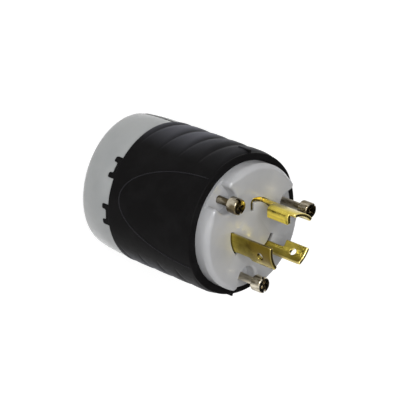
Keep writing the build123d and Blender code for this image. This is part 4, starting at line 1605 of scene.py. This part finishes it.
def dark_flag(size):
    """A dark flag behind and above the plug, out of the picture, that gives the metal contrast."""
    material, tree, shader = finish_tree("dark_flag")
    feed(tree, shader, {"Base Color": flag_black, "Roughness": 1.0, "Specular IOR Level": 0.0})
    flag = flat_sheet("dark_flag", size, material)
    flag.location = flag_place
    flag.rotation_euler = (-Vector(flag_place)).to_track_quat("-Z", "Y").to_euler()
    flag.visible_camera = False


class PLUG_OT_stage(bpy.types.Operator):
    """Lay the floor, hang the lamps and set up the camera"""

    bl_idname = "locking_plug.stage"
    bl_label = "Stage"

    def execute(self, context):
        stage = context.scene.locking_plug_stage
        flat_sheet("floor", stage.floor_size, floor_finish(stage.floor_glow))
        context.scene.world = room(stage.ambient)
        soft_lamp("key_lamp", (0.28, 0.78, 1.0), lamp_aim, 0.9, stage.key_power)
        soft_lamp("fill_lamp", (-0.5, 1.0, 0.55), lamp_aim, 0.8, stage.fill_power)
        glint = soft_lamp("glint_lamp", (0.55, 0.6, 0.9), lamp_aim, 0.06, stage.glint_power)
        glint.visible_diffuse = False
        dark_flag(stage.flag_size)

        camera = bpy.data.cameras.new("camera")
        camera.lens = stage.lens
        camera.sensor_width = 36.0
        camera.clip_start = 0.01
        holder = bpy.data.objects.new("camera", camera)
        back = Vector((
            sin(stage.view_azimuth) * cos(stage.view_elevation),
            -cos(stage.view_azimuth) * cos(stage.view_elevation),
            sin(stage.view_elevation),
        ))
        level = (-back).to_track_quat("-Z", "Y").to_matrix().to_4x4()
        place = Matrix.Translation(Vector(stage.view_point) + back * stage.view_distance)
        holder.matrix_world = place @ level @ Matrix.Rotation(stage.view_roll, 4, "Z")
        context.scene.collection.objects.link(holder)
        context.scene.camera = holder
        context.scene.view_settings.view_transform = "Standard"
        return {"FINISHED"}


class PLUG_PT_sidebar(bpy.types.Panel):
    """Sidebar panel that lists the pieces and their sizes"""

    bl_idname = "PLUG_PT_sidebar"
    bl_label = "Locking plug"
    bl_space_type = "VIEW_3D"
    bl_region_type = "UI"
    bl_category = "Locking plug"

    def draw(self, context):
        for operator in operators:
            self.layout.operator(operator.bl_idname)
        for group in ("sizes", "colours", "stage"):
            settings = getattr(context.scene, f"locking_plug_{group}")
            box = self.layout.box()
            box.label(text=group.capitalize())
            for name in settings.__annotations__:
                box.prop(settings, name)


property_groups = {"sizes": PlugSizes, "colours": PlugColours, "stage": PlugStage}
operators = (
    PLUG_OT_grip_sleeve,
    PLUG_OT_front_body,
    PLUG_OT_cord_clamp,
    PLUG_OT_blades,
    PLUG_OT_screws,
    PLUG_OT_inner_parts,
    PLUG_OT_stage,
)


def register():
    """Register the classes and hang the property groups on the scene."""
    for group in property_groups.values():
        bpy.utils.register_class(group)
    for name, group in property_groups.items():
        setattr(bpy.types.Scene, f"locking_plug_{name}", PointerProperty(type=group))
    for operator in operators:
        bpy.utils.register_class(operator)
    bpy.utils.register_class(PLUG_PT_sidebar)


def unregister():
    """Take all of that off again."""
    bpy.utils.unregister_class(PLUG_PT_sidebar)
    for operator in reversed(operators):
        bpy.utils.unregister_class(operator)
    for name, group in property_groups.items():
        delattr(bpy.types.Scene, f"locking_plug_{name}")
        bpy.utils.unregister_class(group)


def main():
    """Make every piece and the stage."""
    register()
    bpy.ops.locking_plug.grip_sleeve()
    bpy.ops.locking_plug.front_body()
    bpy.ops.locking_plug.cord_clamp()
    bpy.ops.locking_plug.blades()
    bpy.ops.locking_plug.screws()
    bpy.ops.locking_plug.inner_parts()
    bpy.ops.locking_plug.stage()


if __name__ == "__main__":
    main()
